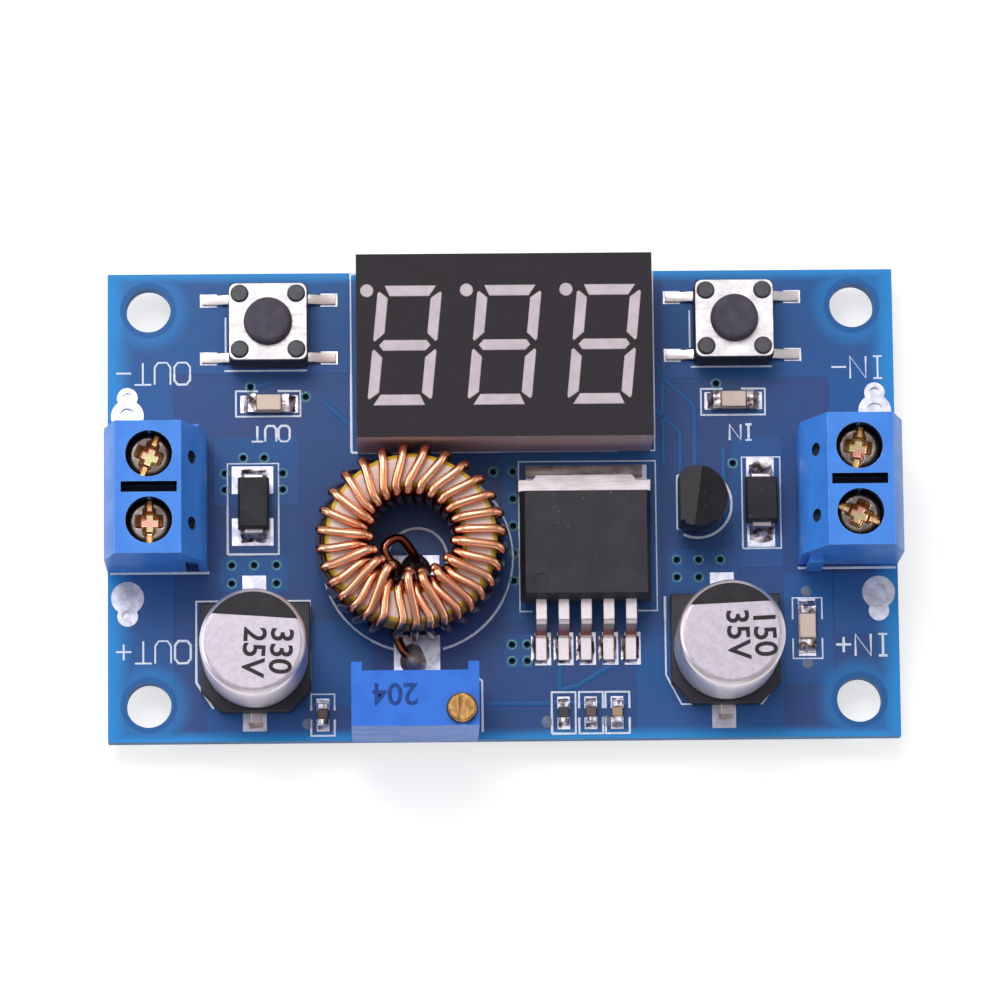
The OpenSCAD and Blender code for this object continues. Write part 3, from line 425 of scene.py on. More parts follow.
board = {
    "mask": srgb(46, 70, 126), "maskPatch": srgb(38, 76, 132), "maskCopper": srgb(26, 84, 146),
    "copperPatch": srgb(44, 82, 142), "trace": srgb(28, 92, 152), "cutEdge": srgb(40, 116, 172),
    "paintedBacklight": srgb(30, 142, 216), "glowReach": (0.5 * mm, 2.6 * mm), "glowAtFront": 2.2,
    "hole": (26.9 * mm, 15.2 * mm), "holeGlow": (2.3 * mm, 3.6 * mm), "ring": (2.08 * mm, 2.2 * mm),
    "ringTone": srgb(22, 84, 146), "copperHeight": 0.03 * mm, "traceRadius": 0.2 * mm,
    "ink": 0.2 * mm, "inkFlat": 0.26, "traceFlat": 0.08,
}
# Copper areas in mm: left, right, front and rear edge
pours = (
    (-29.6, -11, 10.2, 17.6), (-29.6, -25, 5.3, 10.2), (-29.6, -25, -17.6, -5.2),
    (-21.9, -15.5, 0, 5.3), (-21.5, -16.3, -6.6, -3.9), (-22.5, -15, -17.6, -15.5),
    (-15, -10, -15.4, -8.8), (0, 12, -9, 5), (0, 2.2, -12.6, -10), (9.2, 12, -12, -10),
    (25, 29.6, 5.3, 17.6), (12.3, 25, 9.6, 17.6), (17.5, 21.3, -5, 5), (12.5, 17.8, -6.8, -3.6),
    (25.1, 29.5, -10.2, -5.5), (21.3, 25, -14, -5.5), (10, 21.2, -17.5, -9),
)


# Towards the outline and the corners the mask is painted lighter and bluer, a painted glow of the light
# shining through the board there; a darker ring lies round each mounting hole
def boardColor(surface, base):
    tree = surface.tree
    axis = surface.axes()
    x = mathNode(tree, "ABSOLUTE", axis[0])
    y = mathNode(tree, "ABSOLUTE", axis[1])
    toSide = mathNode(tree, "SUBTRACT", boardHalf.x, x)
    toEnd = mathNode(tree, "MULTIPLY", mathNode(tree, "SUBTRACT", boardHalf.y, y), board["glowAtFront"])
    wobble = noiseNode(tree, surface.place, 260.0, 2.0)
    toEdge = mathNode(tree, "MULTIPLY_ADD", wobble, 0.8 * mm, mathNode(tree, "MINIMUM", toSide, toEnd))
    glow = fade(tree, toEdge, *board["glowReach"], 0.8, 0.0)
    far = distanceFrom(tree, (x, y), board["hole"])
    corner = fade(tree, far, *board["holeGlow"], 0.35, 0.0)
    glow = mathNode(tree, "MAXIMUM", glow, corner)
    color = mixColor(tree, glow, base, board["paintedBacklight"])
    ring = fade(tree, far, *board["ring"], 0.8, 0.0)
    return mixColor(tree, ring, color, board["ringTone"])


def maskSurface(name, color, patch):
    surface = plainSurface(name, color, patch, 0.36, 0.12, bump=0.1, speck=0.3, patchAmount=0.85,
                           patchScale=150.0, grainScale=5000.0, specular=0.22,
                           speckColor=srgb(96, 130, 176))
    surface.put("Base Color", boardColor(surface, surface.finish.outputs["Color"]))
    return surface


maskBare = maskSurface("soldermask", board["mask"], board["maskPatch"])
maskCopper = maskSurface("soldermaskOverCopper", board["maskCopper"], board["copperPatch"])
maskTrace = maskSurface("soldermaskOverTrace", board["trace"], board["maskCopper"])
boardCutEdge = plainSurface("boardCutEdge", board["cutEdge"], srgb(26, 84, 140), 0.6, bump=0.5)
inkWhite = plainSurface("legendInk", srgb(226, 232, 246), srgb(186, 202, 228), 0.6, bump=0.3,
                        patchScale=3000.0)


def facingUp(mesh):
    return [face for face in mesh.faces if face.normal.z > 0.9]


def cutBoardTop(mesh, place, normal):
    top = facingUp(mesh)
    parts = set(top)
    for face in top:
        parts.update(face.edges)
        parts.update(face.verts)
    bmesh.ops.bisect_plane(mesh, geom=list(parts), dist=1e-7, plane_co=place, plane_no=normal)


def overCopper(point):
    return any(x0 < point.x / mm < x1 and y0 < point.y / mm < y1 for x0, x1, y0, y1 in pours)


mesh = bmesh.new()
mesh.from_mesh(frame["nodes"]["circuit_board"].data)
bmesh.ops.remove_doubles(mesh, verts=mesh.verts, dist=0.001 * mm)
for x in sorted({x for pour in pours for x in pour[:2]}):
    cutBoardTop(mesh, (x * mm, 0, 0), (1, 0, 0))
for y in sorted({y for pour in pours for y in pour[2:]}):
    cutBoardTop(mesh, (0, y * mm, 0), (0, 1, 0))
for face in mesh.faces:
    face.material_index = 0 if abs(face.normal.z) > 0.5 else 2
copperFaces = [face for face in facingUp(mesh) if overCopper(face.calc_center_median())]
for face in copperFaces:
    face.material_index = 1
lifted = bmesh.ops.extrude_face_region(mesh, geom=copperFaces)
copperTop = [item for item in lifted["geom"] if isinstance(item, bmesh.types.BMVert)]
bmesh.ops.translate(mesh, verts=copperTop, vec=(0, 0, board["copperHeight"]))
bmesh.ops.delete(mesh, geom=[face for face in copperFaces if face.is_valid], context="FACES")
boardPiece = placeMesh("board_panel", mesh, [maskBare, maskCopper, boardCutEdge], merge=False)
ridePiece(boardPiece, "module")
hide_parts("circuit_board")

tin = plainSurface("tin", srgb(206, 206, 222), srgb(150, 148, 168), 0.34, 0.25, 1.0, 0.4,
                   patchScale=1500.0)
setMaterial(frame["nodes"]["tinned_lands"], tin)


# Thin traces under the mask, as lines of points in mm
traceLines = (
    ((8, -12.5), (5.5, -14), (4.2, -14.3)), ((4.2, -12.4), (4.2, -14.6)), ((-1.5, -15.3), (9.4, -15.3)),
    ((12, 10), (14.7, 7.5), (14.7, 2.6)), ((16.9, 4.2), (16.9, -2)), ((12.3, 9.5), (12.3, 3)),
    ((-17.5, 9.6), (-18.6, 9.2)), ((-13.5, 8), (-11, 5.6)), ((11.2, 7.8), (13.6, 5.4), (13.6, 2.2)),
)
lines = [[(x * mm, y * mm, 0) for x, y in line] for line in traceLines]
piece = sweepTube("mask_traces", lines, board["traceRadius"], maskTrace, 3, board["traceFlat"], boardTop)
ridePiece(piece, "module")

# White outlines round the components, in mm: frames as left, right, front and rear edge (and the
# gap's two ends), or lines of points
outline = {
    "diodeLeft": (-20.9, -17.02, -3.71, 3.27), "diodeRight": (18.25, 21.17, -3.56, 3.47),
    "display": (-11.45, 11.65, 4.05, 17.9),
    "lightLeft": (-20.23, -15.32, 6.91, 8.87, (-18.55, -17.05)),
    "lightRight": (15.24, 20.12, 6.76, 8.78, (16.9, 18.3)),
    "lightSide": (21.93, 24.16, -12.04, -7.4, (-10.5, -9.05)),
    "switches": [[(-21.1, 10.45), (-14.8, 10.45)], [(-21, 11.8), (-21, 14.6)],
                 [(14.5, 10.5), (20.7, 10.5)], [(14.45, 12), (14.45, 14.9)]],
    "smallFlat": [(13.31, -2.07), (13.31, 2.03)], "smallRound": ((14.85, -0.1), 2.6, 115, -115, 30),
    "capacitors": [[(-23.3, -13.5), (-23.3, -7.3), (-14.7, -7.3), (-14.7, -13.5)],
                   [(-23.3, -13.5), (-22, -15.5)],
                   [(12.25, -7.2), (12.25, -13.2), (13.4, -15.45), (19.5, -15.45), (20.9, -13.6)]],
    "chips": ((3.56, 5.36), (5.63, 7.43), (7.63, 9.44), (-14.64, -12.87)), "chipRows": (-17.62, -14.46),
    "chipGap": (-16.4, -15.7), "trimmer": [(-1.7, -17.45), (-1.7, -13.53), (-2.3, -13.2)],
    "coilCenter": (-6.5, -4.07), "coil": 7.25, "coilInner": 2.27, "coilSweep": (285, 615),
    "regulator": [(2.2, -8.27), (1.24, -8.27), (1.24, 3.25), (11.67, 3.25), (11.67, -8.27), (10.2, -8.27)],
    "terminals": [[(-29.83, -5.1), (-22.31, -5.1)], [(22.42, -5.1), (29.85, -5.1)]],
}


def frameLine(x0, x1, y0, y1):
    return [(x0, y0), (x1, y0), (x1, y1), (x0, y1), (x0, y0)]


def rearGapFrame(x0, x1, y0, y1, gap):
    return [[(gap[0], y1), (x0, y1), (x0, y0), (x1, y0), (x1, y1), (gap[1], y1)]]


def sideGapFrame(x0, x1, y0, y1, gap):
    return [[(x0, gap[1]), (x0, y1), (x1, y1), (x1, gap[1])],
            [(x0, gap[0]), (x0, y0), (x1, y0), (x1, gap[0])]]


def arc(center, radius, start, end, steps=48):
    turns = [math.radians(start + (end - start) * k / steps) for k in range(steps + 1)]
    return [(center[0] + radius * math.cos(a), center[1] + radius * math.sin(a)) for a in turns]


ink = [frameLine(*outline["diodeLeft"]), frameLine(*outline["diodeRight"])]
ink += rearGapFrame(*outline["lightLeft"]) + rearGapFrame(*outline["lightRight"])
ink += sideGapFrame(*outline["lightSide"]) + outline["switches"]
ink += [outline["smallFlat"] + arc(*outline["smallRound"])] + outline["capacitors"]
for chip, sides in enumerate(outline["chips"]):
    if chip == 0:
        ink.append(frameLine(*sides, *outline["chipRows"]))
    else:
        ink += sideGapFrame(*sides, *outline["chipRows"], outline["chipGap"])
ink += [outline["trimmer"], arc(outline["coilCenter"], outline["coil"], *outline["coilSweep"])]
ink += [arc(outline["coilCenter"], outline["coilInner"], 0, 360, 30), outline["regulator"]]
ink += [frameLine(*outline["display"])] + outline["terminals"]

# Letters as single strokes in a box one unit high; the legends stand upside down
letters = {
    "O": [[(0.2, 0), (0.6, 0), (0.76, 0.2), (0.76, 0.8), (0.6, 1), (0.2, 1), (0.04, 0.8), (0.04, 0.2),
           (0.2, 0)]],
    "U": [[(0.04, 1), (0.04, 0.22), (0.2, 0), (0.6, 0), (0.76, 0.22), (0.76, 1)]],
    "T": [[(0.02, 1), (0.78, 1)], [(0.4, 1), (0.4, 0)]],
    "I": [[(0.4, 1), (0.4, 0)], [(0.2, 1), (0.6, 1)], [(0.2, 0), (0.6, 0)]],
    "N": [[(0.04, 0), (0.04, 1), (0.76, 0), (0.76, 1)]],
    "+": [[(0.04, 0.48), (0.74, 0.48)], [(0.39, 0.14), (0.39, 0.84)]],
    "-": [[(0.04, 0.48), (0.72, 0.48)]],
}
# Words, right end, top, height and pitch, in mm
legends = (
    ("OUT-", -23.65, 11.13, 1.7, 1.5), ("OUT+", -23.65, -10.3, 1.7, 1.5), ("IN-", 29.45, 11.22, 1.7, 1.5),
    ("IN+", 29.4, -10.2, 1.66, 1.5), ("OUT", -16.1, 6.17, 1.2, 1.02), ("IN", 19.3, 6, 1.2, 1.02),
)
letterWidth = 0.98
for words, right, top, height, pitch in legends:
    for place, letter in enumerate(words):
        for stroke in letters[letter]:
            start = right - place * pitch
            ink.append([(start - u * height * letterWidth, top - v * height) for u, v in stroke])
lines = [[(x * mm, y * mm, 0) for x, y in line] for line in ink]
piece = sweepTube("white_legends", lines, board["ink"] / 2, inkWhite, 3, board["inkFlat"],
                  boardTop + 0.4 * board["copperHeight"])
ridePiece(piece, "module")

# Plated rings of the small holes, with dark bores closed a little way down as painted shade; a few holes
# are closed with mask
viaBoreShade = plainSurface("viaBorePaintedShade", srgb(16, 22, 36), srgb(24, 34, 52), 0.6, specular=0.1)
viaRing = plainSurface("viaRing", srgb(84, 138, 150), srgb(40, 90, 120), 0.4, 0.2, 0.4, 0.3,
                       patchScale=3000.0)
vias = {
    "inner": 0.24 * mm, "outer": 0.4 * mm, "foot": 0.05 * mm, "deep": 0.3 * mm,
    "open": [(-19.1, 9.2), (-14.9, 8.4), (16.4, 9.2), (17.6, 3), (-0.7, 2.5), (-19.7, 3.7), (-18.1, 3.7)]
    + [(x, y) for x in (-21.1, -16.7) for y in (2.5, 1.25)]
    + [(0.8, 2.5 - 2.1 * i) for i in range(5)]
    + [(x, y) for x in (0.6, 1.75) for y in (-10.8, -12.05)]
    + [(-20.6 + 1.7 * i, -4.55 - 1.4 * j) for i in range(3) for j in range(2) if i != 1 or j == 0]
    + [(13.2 + 1.65 * i, -4.4 - 1.35 * j) for i in range(3) for j in range(2) if i != 2 or j == 0],
    "tented": [(23, -6.9), (23, -12.4), (-14.9, -16.7), (3.2, -16.7), (7.7, -16.7)],
}
tented = plainSurface("tentedVia", srgb(104, 118, 142), srgb(66, 84, 116), 0.5, 0.15, bump=0.5,
                      patchScale=2500.0)
viaHigh = boardTop + board["copperHeight"] + 0.006 * mm
collar = ((vias["outer"], viaHigh), (vias["outer"] + vias["foot"], boardTop))
boreFoot = boardTop - vias["deep"]
bored = ((0, boreFoot), (vias["inner"], boreFoot + 0.01 * mm), (vias["inner"], viaHigh))
closed = ((0, boardTop + 0.01 * mm), (0.15 * mm, boardTop + 0.015 * mm), (0, viaHigh))
for name, places, surface, middle in (("via_rings", vias["open"], viaRing, bored),
                                      ("tented_vias", vias["tented"], tented, closed)):
    mesh = bmesh.new()
    for x, y in places:
        center = Vector((x * mm, y * mm, 0))
        row = [mesh.verts.new(center + Vector((r, 0, z))) for r, z in middle + collar]
        edges = [mesh.edges.new(pair) for pair in zip(row, row[1:])]
        bmesh.ops.spin(mesh, geom=row + edges, cent=center, axis=(0, 0, 1), angle=math.tau, steps=20,
                       use_merge=True)
    for face in mesh.faces:
        face.material_index = 1 if face.calc_center_median().z < boardTop - 0.05 * mm else 0
    ridePiece(placeMesh(name, mesh, [surface, viaBoreShade], smooth=True), "module")
print("circuit board done")


# Terminal blocks

terminal = {
    "blue": srgb(62, 132, 224), "patch": srgb(50, 118, 212), "burrAndHighlight": srgb(166, 208, 250),
    "shade": srgb(12, 24, 52), "x": 26.2 * mm, "y": {"out": -0.05 * mm, "in": 0.15 * mm},
    "screwX": 0.3 * mm, "way": 2.5 * mm, "slot": (2.3 * mm, 0.45 * mm, 2.2 * mm),
    "probe": (-2 * mm, 0.52 * mm, 3.4 * mm), "cage": (2.6 * mm, 4.9 * mm, 1.2 * mm), "slope": 0.93,
}
terminalBlue = plainSurface("terminalPlastic", terminal["blue"], terminal["patch"], 0.36, 0.12,
                            bump=0.12, specular=0.3, speck=0.25, patchAmount=0.6,
                            speckColor=srgb(140, 180, 230))
# The rounded edges are paler: partly moulding burr, partly a painted edge highlight
burrAndHighlightBlue = plainSurface("terminalEdgeBurrAndHighlight", terminal["burrAndHighlight"], terminal["blue"], 0.4, 0.2, bump=0.6,
                        patchAmount=0.9, patchScale=1800.0)
shadeBlue = plainSurface("terminalRecessShade", terminal["shade"], srgb(16, 36, 78), 0.5, 0.1, specular=0.2)
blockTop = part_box("terminal_housing_out")[1].z


# The slot between the ways, the probe holes and the cage's bay get a dark painted shade inside; x runs
# outwards
def terminalChoice(side, sign):
    def choose(face):
        point = face.calc_center_median()
        normal = face.normal
        x = (point.x - sign * terminal["x"]) * sign
        y = abs(point.y - terminal["y"][side])
        deep = blockTop - point.z
        slotLong, slotHalf, slotDeep = terminal["slot"]
        nearSlot = y < slotHalf and abs(x - terminal["screwX"]) < slotLong
        inSlot = nearSlot and 0.05 * mm < deep < slotDeep
        probeX, probeHalf, probeDeep = terminal["probe"]
        inProbe = abs(y - terminal["way"]) < probeHalf and x < probeX and deep < probeDeep
        onSlope = abs(abs(normal.x) - terminal["slope"]) < 0.04 and abs(normal.y) < 0.05
        boreWall = abs(normal.y) + abs(normal.z) > 0.1 and not onSlope and abs(normal.z) < 0.97
        cageX, cageY, cageDeep = terminal["cage"]
        inCage = abs(x) < cageX and y < cageY and deep > cageDeep and abs(normal.y) < 0.99
        return 2 if inSlot or inProbe and boreWall or inCage else 0
    return choose


for side, sign in (("out", -1), ("in", 1)):
    piece = softCopy("terminal_housing_" + side, [terminalBlue, burrAndHighlightBlue, shadeBlue], 0.1 * mm, 3,
                     name="terminal_block_" + side, chooser=terminalChoice(side, sign), edgeIndex=1)
    ridePiece(piece, "module")
contactMetal = brushedSurface("contactMetal", srgb(190, 184, 186), srgb(110, 104, 108), 0.32)
guardMetal = brushedSurface("guardMetal", srgb(190, 186, 190), srgb(110, 104, 108), 0.3)
# The zinc heads are coloured darker than the metal is, a painted shade for the dark hole they reflect; the
# cross's walls get a painted gold glint and its floor a painted pink highlight
screwMetal = brushedSurface("yellowZinc", srgb(132, 122, 116), srgb(60, 50, 46), 0.24, 1400.0, (1, 1, 1),
                            tint=srgb(84, 70, 66), tintScale=700.0, mottle=0.8)
screwGlint = brushedSurface("yellowZincPaintedGlint", srgb(222, 190, 140), srgb(110, 76, 50), 0.2, 1400.0,
                            (1, 1, 1), tint=srgb(170, 104, 50), tintScale=700.0, mottle=0.8)
screwRecessHighlight = brushedSurface("yellowZincRecessHighlight", srgb(206, 146, 138), srgb(96, 70, 50), 0.22, 1400.0,
                             (1, 1, 1), tint=srgb(150, 170, 110), tintScale=1100.0, mottle=0.8)
for side in ("out", "in"):
    piece = softCopy("terminal_contacts_" + side, [contactMetal], 0.05 * mm, 2,
                     name="contact_cages_" + side)
    ridePiece(piece, "module")
for way in ("out_minus", "out_plus", "in_minus", "in_plus"):
    piece = softCopy("wire_guard_" + way, [guardMetal], 0.05 * mm, 2, name="guard_plate_" + way)
    ridePiece(piece, bodyOf("wire_guard_" + way))

screw = {
    "head": 1.65 * mm, "headHigh": 1.17 * mm, "crown": 0.4 * mm, "shank": 1.2 * mm, "tip": 0.7 * mm,
    "tipLong": 0.48 * mm, "rim": 0.5 * mm, "armHalf": (0.26 * mm, 0.5 * mm),
    "armLong": (0.62 * mm, 1.08 * mm),
    "armEnd": 1.02 * mm, "armDeep": 0.75 * mm, "slotHalf": (0.21 * mm, 0.29 * mm), "slotDeep": 0.42 * mm,
    "turned": {"out_minus": 69, "out_plus": 90, "in_minus": 82, "in_plus": 157},
}


def smoothStep(value, low, high):
    share = min(max((value - low) / (high - low), 0), 1)
    return share * share * (3 - 2 * share)


# How deep the head is cut at a place on it: a cross with sloping walls and a slot right across
def cutDepth(x, y):
    arms = 0
    for along, across in ((abs(x), abs(y)), (abs(y), abs(x))):
        side = 1 - smoothStep(across, *screw["armHalf"])
        end = 1 - smoothStep(along, *screw["armLong"])
        arms = max(arms, side * end)
    slot = 1 - smoothStep(abs(y), *screw["slotHalf"])
    return max(arms * screw["armDeep"], slot * screw["slotDeep"])


def clampScrew(way):
    low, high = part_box("clamp_screw_" + way)
    top = high.z
    head, crown, underHead = screw["head"], screw["crown"], top - screw["headHigh"]
    profile = [(0, low.z), (screw["tip"], low.z), (screw["tip"], low.z + screw["tipLong"]),
               (screw["shank"], low.z + screw["tipLong"]), (screw["shank"], underHead), (head, underHead),
               (head, top - crown - screw["rim"]), (head, top - crown)]
    for k in range(1, 7):
        bend = math.radians(15 * k)
        profile.append((head - crown * (1 - math.cos(bend)), top - crown * (1 - math.sin(bend))))
    profile += [((head - crown) * (1 - k / 22), top) for k in range(1, 22)] + [(0, top)]
    middle = (low + high) / 2
    center = Vector((middle.x, middle.y, 0))
    turn = Matrix.Rotation(math.radians(-screw["turned"][way]), 3, "Z")
    piece = spinProfile("screw_" + way, profile, center, [screwMetal, screwGlint, screwRecessHighlight], 112)
    for vert in piece.data.vertices:
        if vert.co.z > top - crown - 0.01 * mm:
            local = turn @ (vert.co - center)
            vert.co.z = min(vert.co.z, top - cutDepth(local.x, local.y))
    # In the cross the walls take the painted glint and the floor the painted pink highlight
    for face in piece.data.polygons:
        local = turn @ (face.center - center)
        deep = top - face.center.z
        inHead = math.hypot(local.x, local.y) < head - 0.02 * mm
        if inHead and 0.08 * mm < deep < screw["armDeep"] + 0.02 * mm:
            onWall = abs(face.normal.z) < 0.9 or abs(local.x) > screw["armEnd"]
            face.material_index = 1 if onWall else 2
    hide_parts("clamp_screw_" + way)
    ridePiece(piece, bodyOf("clamp_screw_" + way))


for way in screw["turned"]:
    clampScrew(way)
print("terminal blocks done")


# Display

display = {
    "face": srgb(40, 35, 41), "facePatch": srgb(47, 42, 48), "bar": srgb(190, 176, 184),
    "side": srgb(224, 184, 178), "sidePatch": srgb(196, 156, 150), "dust": srgb(120, 116, 120),
}
faceBlack = plainSurface("displayFace", display["face"], display["facePatch"], 0.5, 0.1, bump=0.08,
                         speck=0.35, specular=0.15, speckColor=display["dust"])
barWhite = plainSurface("lightBarPlastic", display["bar"], srgb(168, 156, 164), 0.42, 0.1, bump=0.12,
                        patchScale=900.0)
displayPlastic = plainSurface("displaySide", display["side"], display["sidePatch"], 0.2, 0.12, coat=0.4,
                              bump=0.1, patchScale=260.0)
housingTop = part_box("display_housing")[1].z


def displayFaceChoice(face):
    return 0 if face.normal.z > 0.7 and face.calc_center_median().z > housingTop - 0.6 * mm else 1


piece = softCopy("display_housing", [faceBlack, displayPlastic], 0.12 * mm, 3, chooser=displayFaceChoice,
                 name="display_case")
ridePiece(piece, "module")
piece = softCopy("display_light_bars", [barWhite], 0.05 * mm, 2, name="light_bars")
ridePiece(piece, "module")
baseBoard = plainSurface("displayBaseBoard", srgb(150, 140, 110), srgb(120, 110, 84), 0.6)
setMaterial(frame["nodes"]["display_base_board"], baseBoard)
pinMetal = brushedSurface("pinMetal", srgb(218, 214, 220), srgb(140, 136, 144), 0.28,
                          tint=srgb(226, 204, 184), tintScale=900.0, mottle=0.6)
setMaterial(frame["nodes"]["display_pins"], pinMetal)
print("display done")


# Push switches

switch = {
    "base": srgb(34, 34, 46), "cover": srgb(222, 218, 220), "coverPatch": srgb(190, 184, 190),
    "button": srgb(72, 67, 80), "buttonPatch": srgb(56, 52, 64), "rivet": srgb(64, 61, 68),
}
baseDark = plainSurface("switchBase", switch["base"], srgb(26, 26, 36), 0.5, bump=0.3, specular=0.3)
coverMetal = brushedSurface("switchCover", switch["cover"], srgb(184, 178, 184), 0.45, 1000.0, (1, 4, 4),
                            tint=switch["coverPatch"], tintScale=1100.0, mottle=0.5)
buttonPlastic = plainSurface("buttonPlastic", switch["button"], switch["buttonPatch"], 0.55, bump=0.7,
                             grainScale=14000.0, patchScale=1300.0, specular=0.25, speck=0.4)
# The rivet heads are the base's plastic, painted lighter on top as a painted highlight on their domes
rivetPlastic = plainSurface("switchRivetHighlight", switch["rivet"], switch["base"], 0.42, bump=0.5,
                            patchScale=1600.0, speck=0.5)
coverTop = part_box("switch_cover_left")[1].z


def rivetChoice(face):
    return 1 if face.calc_center_median().z > coverTop - 0.05 * mm else 0


for side in ("left", "right"):
    for node, surfaces, edge, chooser in (
            ("base", [baseDark, rivetPlastic], 0.1, rivetChoice), ("cover", [coverMetal], 0.07, None),
            ("button", [buttonPlastic], 0.14, None), ("leads", [pinMetal], 0.04, None)):
        source = "switch_" + node + "_" + side
        piece = softCopy(source, surfaces, edge * mm, chooser=chooser)
        ridePiece(piece, bodyOf(source))
    setMaterial(frame["nodes"]["switch_dome_" + side], pinMetal)
print("switches done")


# Inductor: a coated ring core and one enamelled wire

winding = {
    "turns": 31, "rings": 12, "startAngle": 248.0, "woundAngle": 356.0, "crowding": 0.2, "lean": 10.0,
    "wire": 0.6 * mm, "cornerRadius": 0.85 * mm, "slack": 0.13 * mm, "yellow": srgb(236, 194, 58),
    "yellowPatch": srgb(214, 166, 40), "top": srgb(244, 216, 204), "topPatch": srgb(232, 196, 180),
    "copper": srgb(250, 182, 144), "copperDark": srgb(226, 136, 94), "burnt": srgb(116, 56, 28),
    "groove": srgb(136, 54, 26), "grooveDeep": (0.22 * mm, 0.66 * mm), "shownWire": 0.7 * mm,
    "holeScorchAndShade": (2.1 * mm, 3 * mm), "scorchedLand": (-11.2 * mm, -10.4 * mm),
    "coreInner": 3.9 * mm, "coreOuter": 6.5 * mm, "coreEdge": 0.6 * mm,
}
coreYellow = plainSurface("coreCoating", winding["yellow"], winding["yellowPatch"], 0.4, 0.15, bump=0.3,
                          coat=0.2)
coreTop = plainSurface("coreTop", winding["top"], winding["topPatch"], 0.45, 0.15, bump=0.3, coat=0.1)
copper = plainSurface("enamelledCopper", winding["copper"], winding["copperDark"], 0.24, 0.06, 1.0, 0.06,
                      coat=0.5, patchAmount=0.6, patchScale=420.0)
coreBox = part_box("inductor_core")
coreMiddle = (coreBox[0] + coreBox[1]) / 2
# The wire is scorched brown by the outer land; in the hole it is darkened brown too, partly scorch from
# the joint and partly painted shade, and it has painted shade in the grooves between the turns
wireTree = copper.tree
wireAxis = copper.axes()
fromMiddle = distanceFrom(wireTree, wireAxis[:2], coreMiddle[:2])
holeScorchAndShadeMask = fade(wireTree, fromMiddle, *winding["holeScorchAndShade"], 0.85, 0.0)
atLand = fade(wireTree, wireAxis[1], *winding["scorchedLand"], 0.7, 0.0)
aboveCore = mathNode(wireTree, "SUBTRACT", wireAxis[2], coreBox[1].z)
grooveShadeMask = fade(wireTree, aboveCore, *winding["grooveDeep"], 0.88, 0.0)
grooved = mixColor(wireTree, grooveShadeMask, copper.finish.outputs["Color"], winding["groove"])
copper.put("Base Color", mixColor(wireTree, mathNode(wireTree, "MAXIMUM", holeScorchAndShadeMask, atLand), grooved,
                                  winding["burnt"]))
partZ = boardTop + 0.06 * mm


def roundedRing(inner, outer, low, high, edge, steps=8):
    corners = ((outer - edge, low + edge, -90), (outer - edge, high - edge, 0),
               (inner + edge, high - edge, 90), (inner + edge, low + edge, 180))
    points = []
    for x, z, start in corners:
        for k in range(steps + 1):
            angle = math.radians(start + 90 * k / steps)
            points.append((x + edge * math.cos(angle), z + edge * math.sin(angle)))
    return points + points[:1]


def coreChoice(face):
    return 1 if face.normal.z > 0.9 else 0


coreProfile = roundedRing(winding["coreInner"], winding["coreOuter"], coreBox[0].z, coreBox[1].z,
                          winding["coreEdge"])
piece = spinProfile("toroid_core", coreProfile, (coreMiddle.x, coreMiddle.y, 0), [coreYellow, coreTop],
                    chooser=coreChoice)
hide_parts("inductor_core")
ridePiece(piece, "module")


def coilPoint(r, around, z):
    angle = math.radians(around)
    return Vector((coreMiddle.x + r * math.cos(angle), coreMiddle.y + r * math.sin(angle), z))


# Every other turn near the two ends of the winding lies over its neighbours
def riseOf(turn):
    m = min(turn, winding["turns"] - 1 - turn)
    return 1 - m / 12 if m % 2 == 1 and m < 10 else 0


# Each turn goes up through the hole, over the core and down outside, round four corners
def turnPoint(step):
    quarter, part = divmod(step % winding["rings"], 3)
    bend = math.radians(180 - 45 * part - 90 * quarter)
    radius = winding["cornerRadius"]
    reach = winding["wire"] / 2 + winding["slack"]
    low = partZ + winding["wire"] / 2
    high = coreBox[1].z + reach
    near = winding["coreInner"] - reach + radius
    far = winding["coreOuter"] + reach - radius
    r = (near if quarter in (0, 3) else far) + radius * math.cos(bend)
    z = (high - radius if quarter < 2 else low + radius) + radius * math.sin(bend)
    lifted = riseOf(step // winding["rings"]) * mm if quarter == 0 else 0
    share = step / (winding["turns"] * winding["rings"])
    around = winding["startAngle"] - winding["woundAngle"] * share
    if quarter < 2:
        around += winding["woundAngle"] * winding["crowding"] / math.tau * math.sin(math.tau * share)
    around += winding["lean"] * (0.3, -0.5, -0.25, 0)[quarter] * math.sin(math.radians(around))
    return coilPoint(r - lifted, around, z + 0.8 * lifted)


wireZ = partZ + winding["wire"] / 2
holeTip = Vector((-6.6 * mm, -4.55 * mm, wireZ))
outerTip = Vector((-6.9 * mm, -11.9 * mm, wireZ))
holeTail = [holeTip, holeTip + Vector((0, 0.15, 1.3)) * mm]
holeTail += [coilPoint(r * mm, around, z * mm) for r, around, z in (
    (0.9, 150, 4.1), (2, 185, 4.4), (2.1, 215, 4.4), (2, 238, 4.4), (2.4, 248, 4.9), (3.1, 249, 5.8))]
outerTail = [outerTip + Vector((-1.1, 1.4, 0)) * mm, outerTip + Vector((-0.7, 0.6, 0)) * mm, outerTip]
turns = [turnPoint(step) for step in range(winding["turns"] * winding["rings"] - 3)]
wirePath = smoothPath(holeTail + turns + outerTail, 3)
piece = sweepTube("winding_wire", [wirePath], winding["shownWire"] / 2, copper, 5)
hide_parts("inductor_winding")
ridePiece(piece, "module")
print("inductor done")


# Regulator, diodes and small regulator

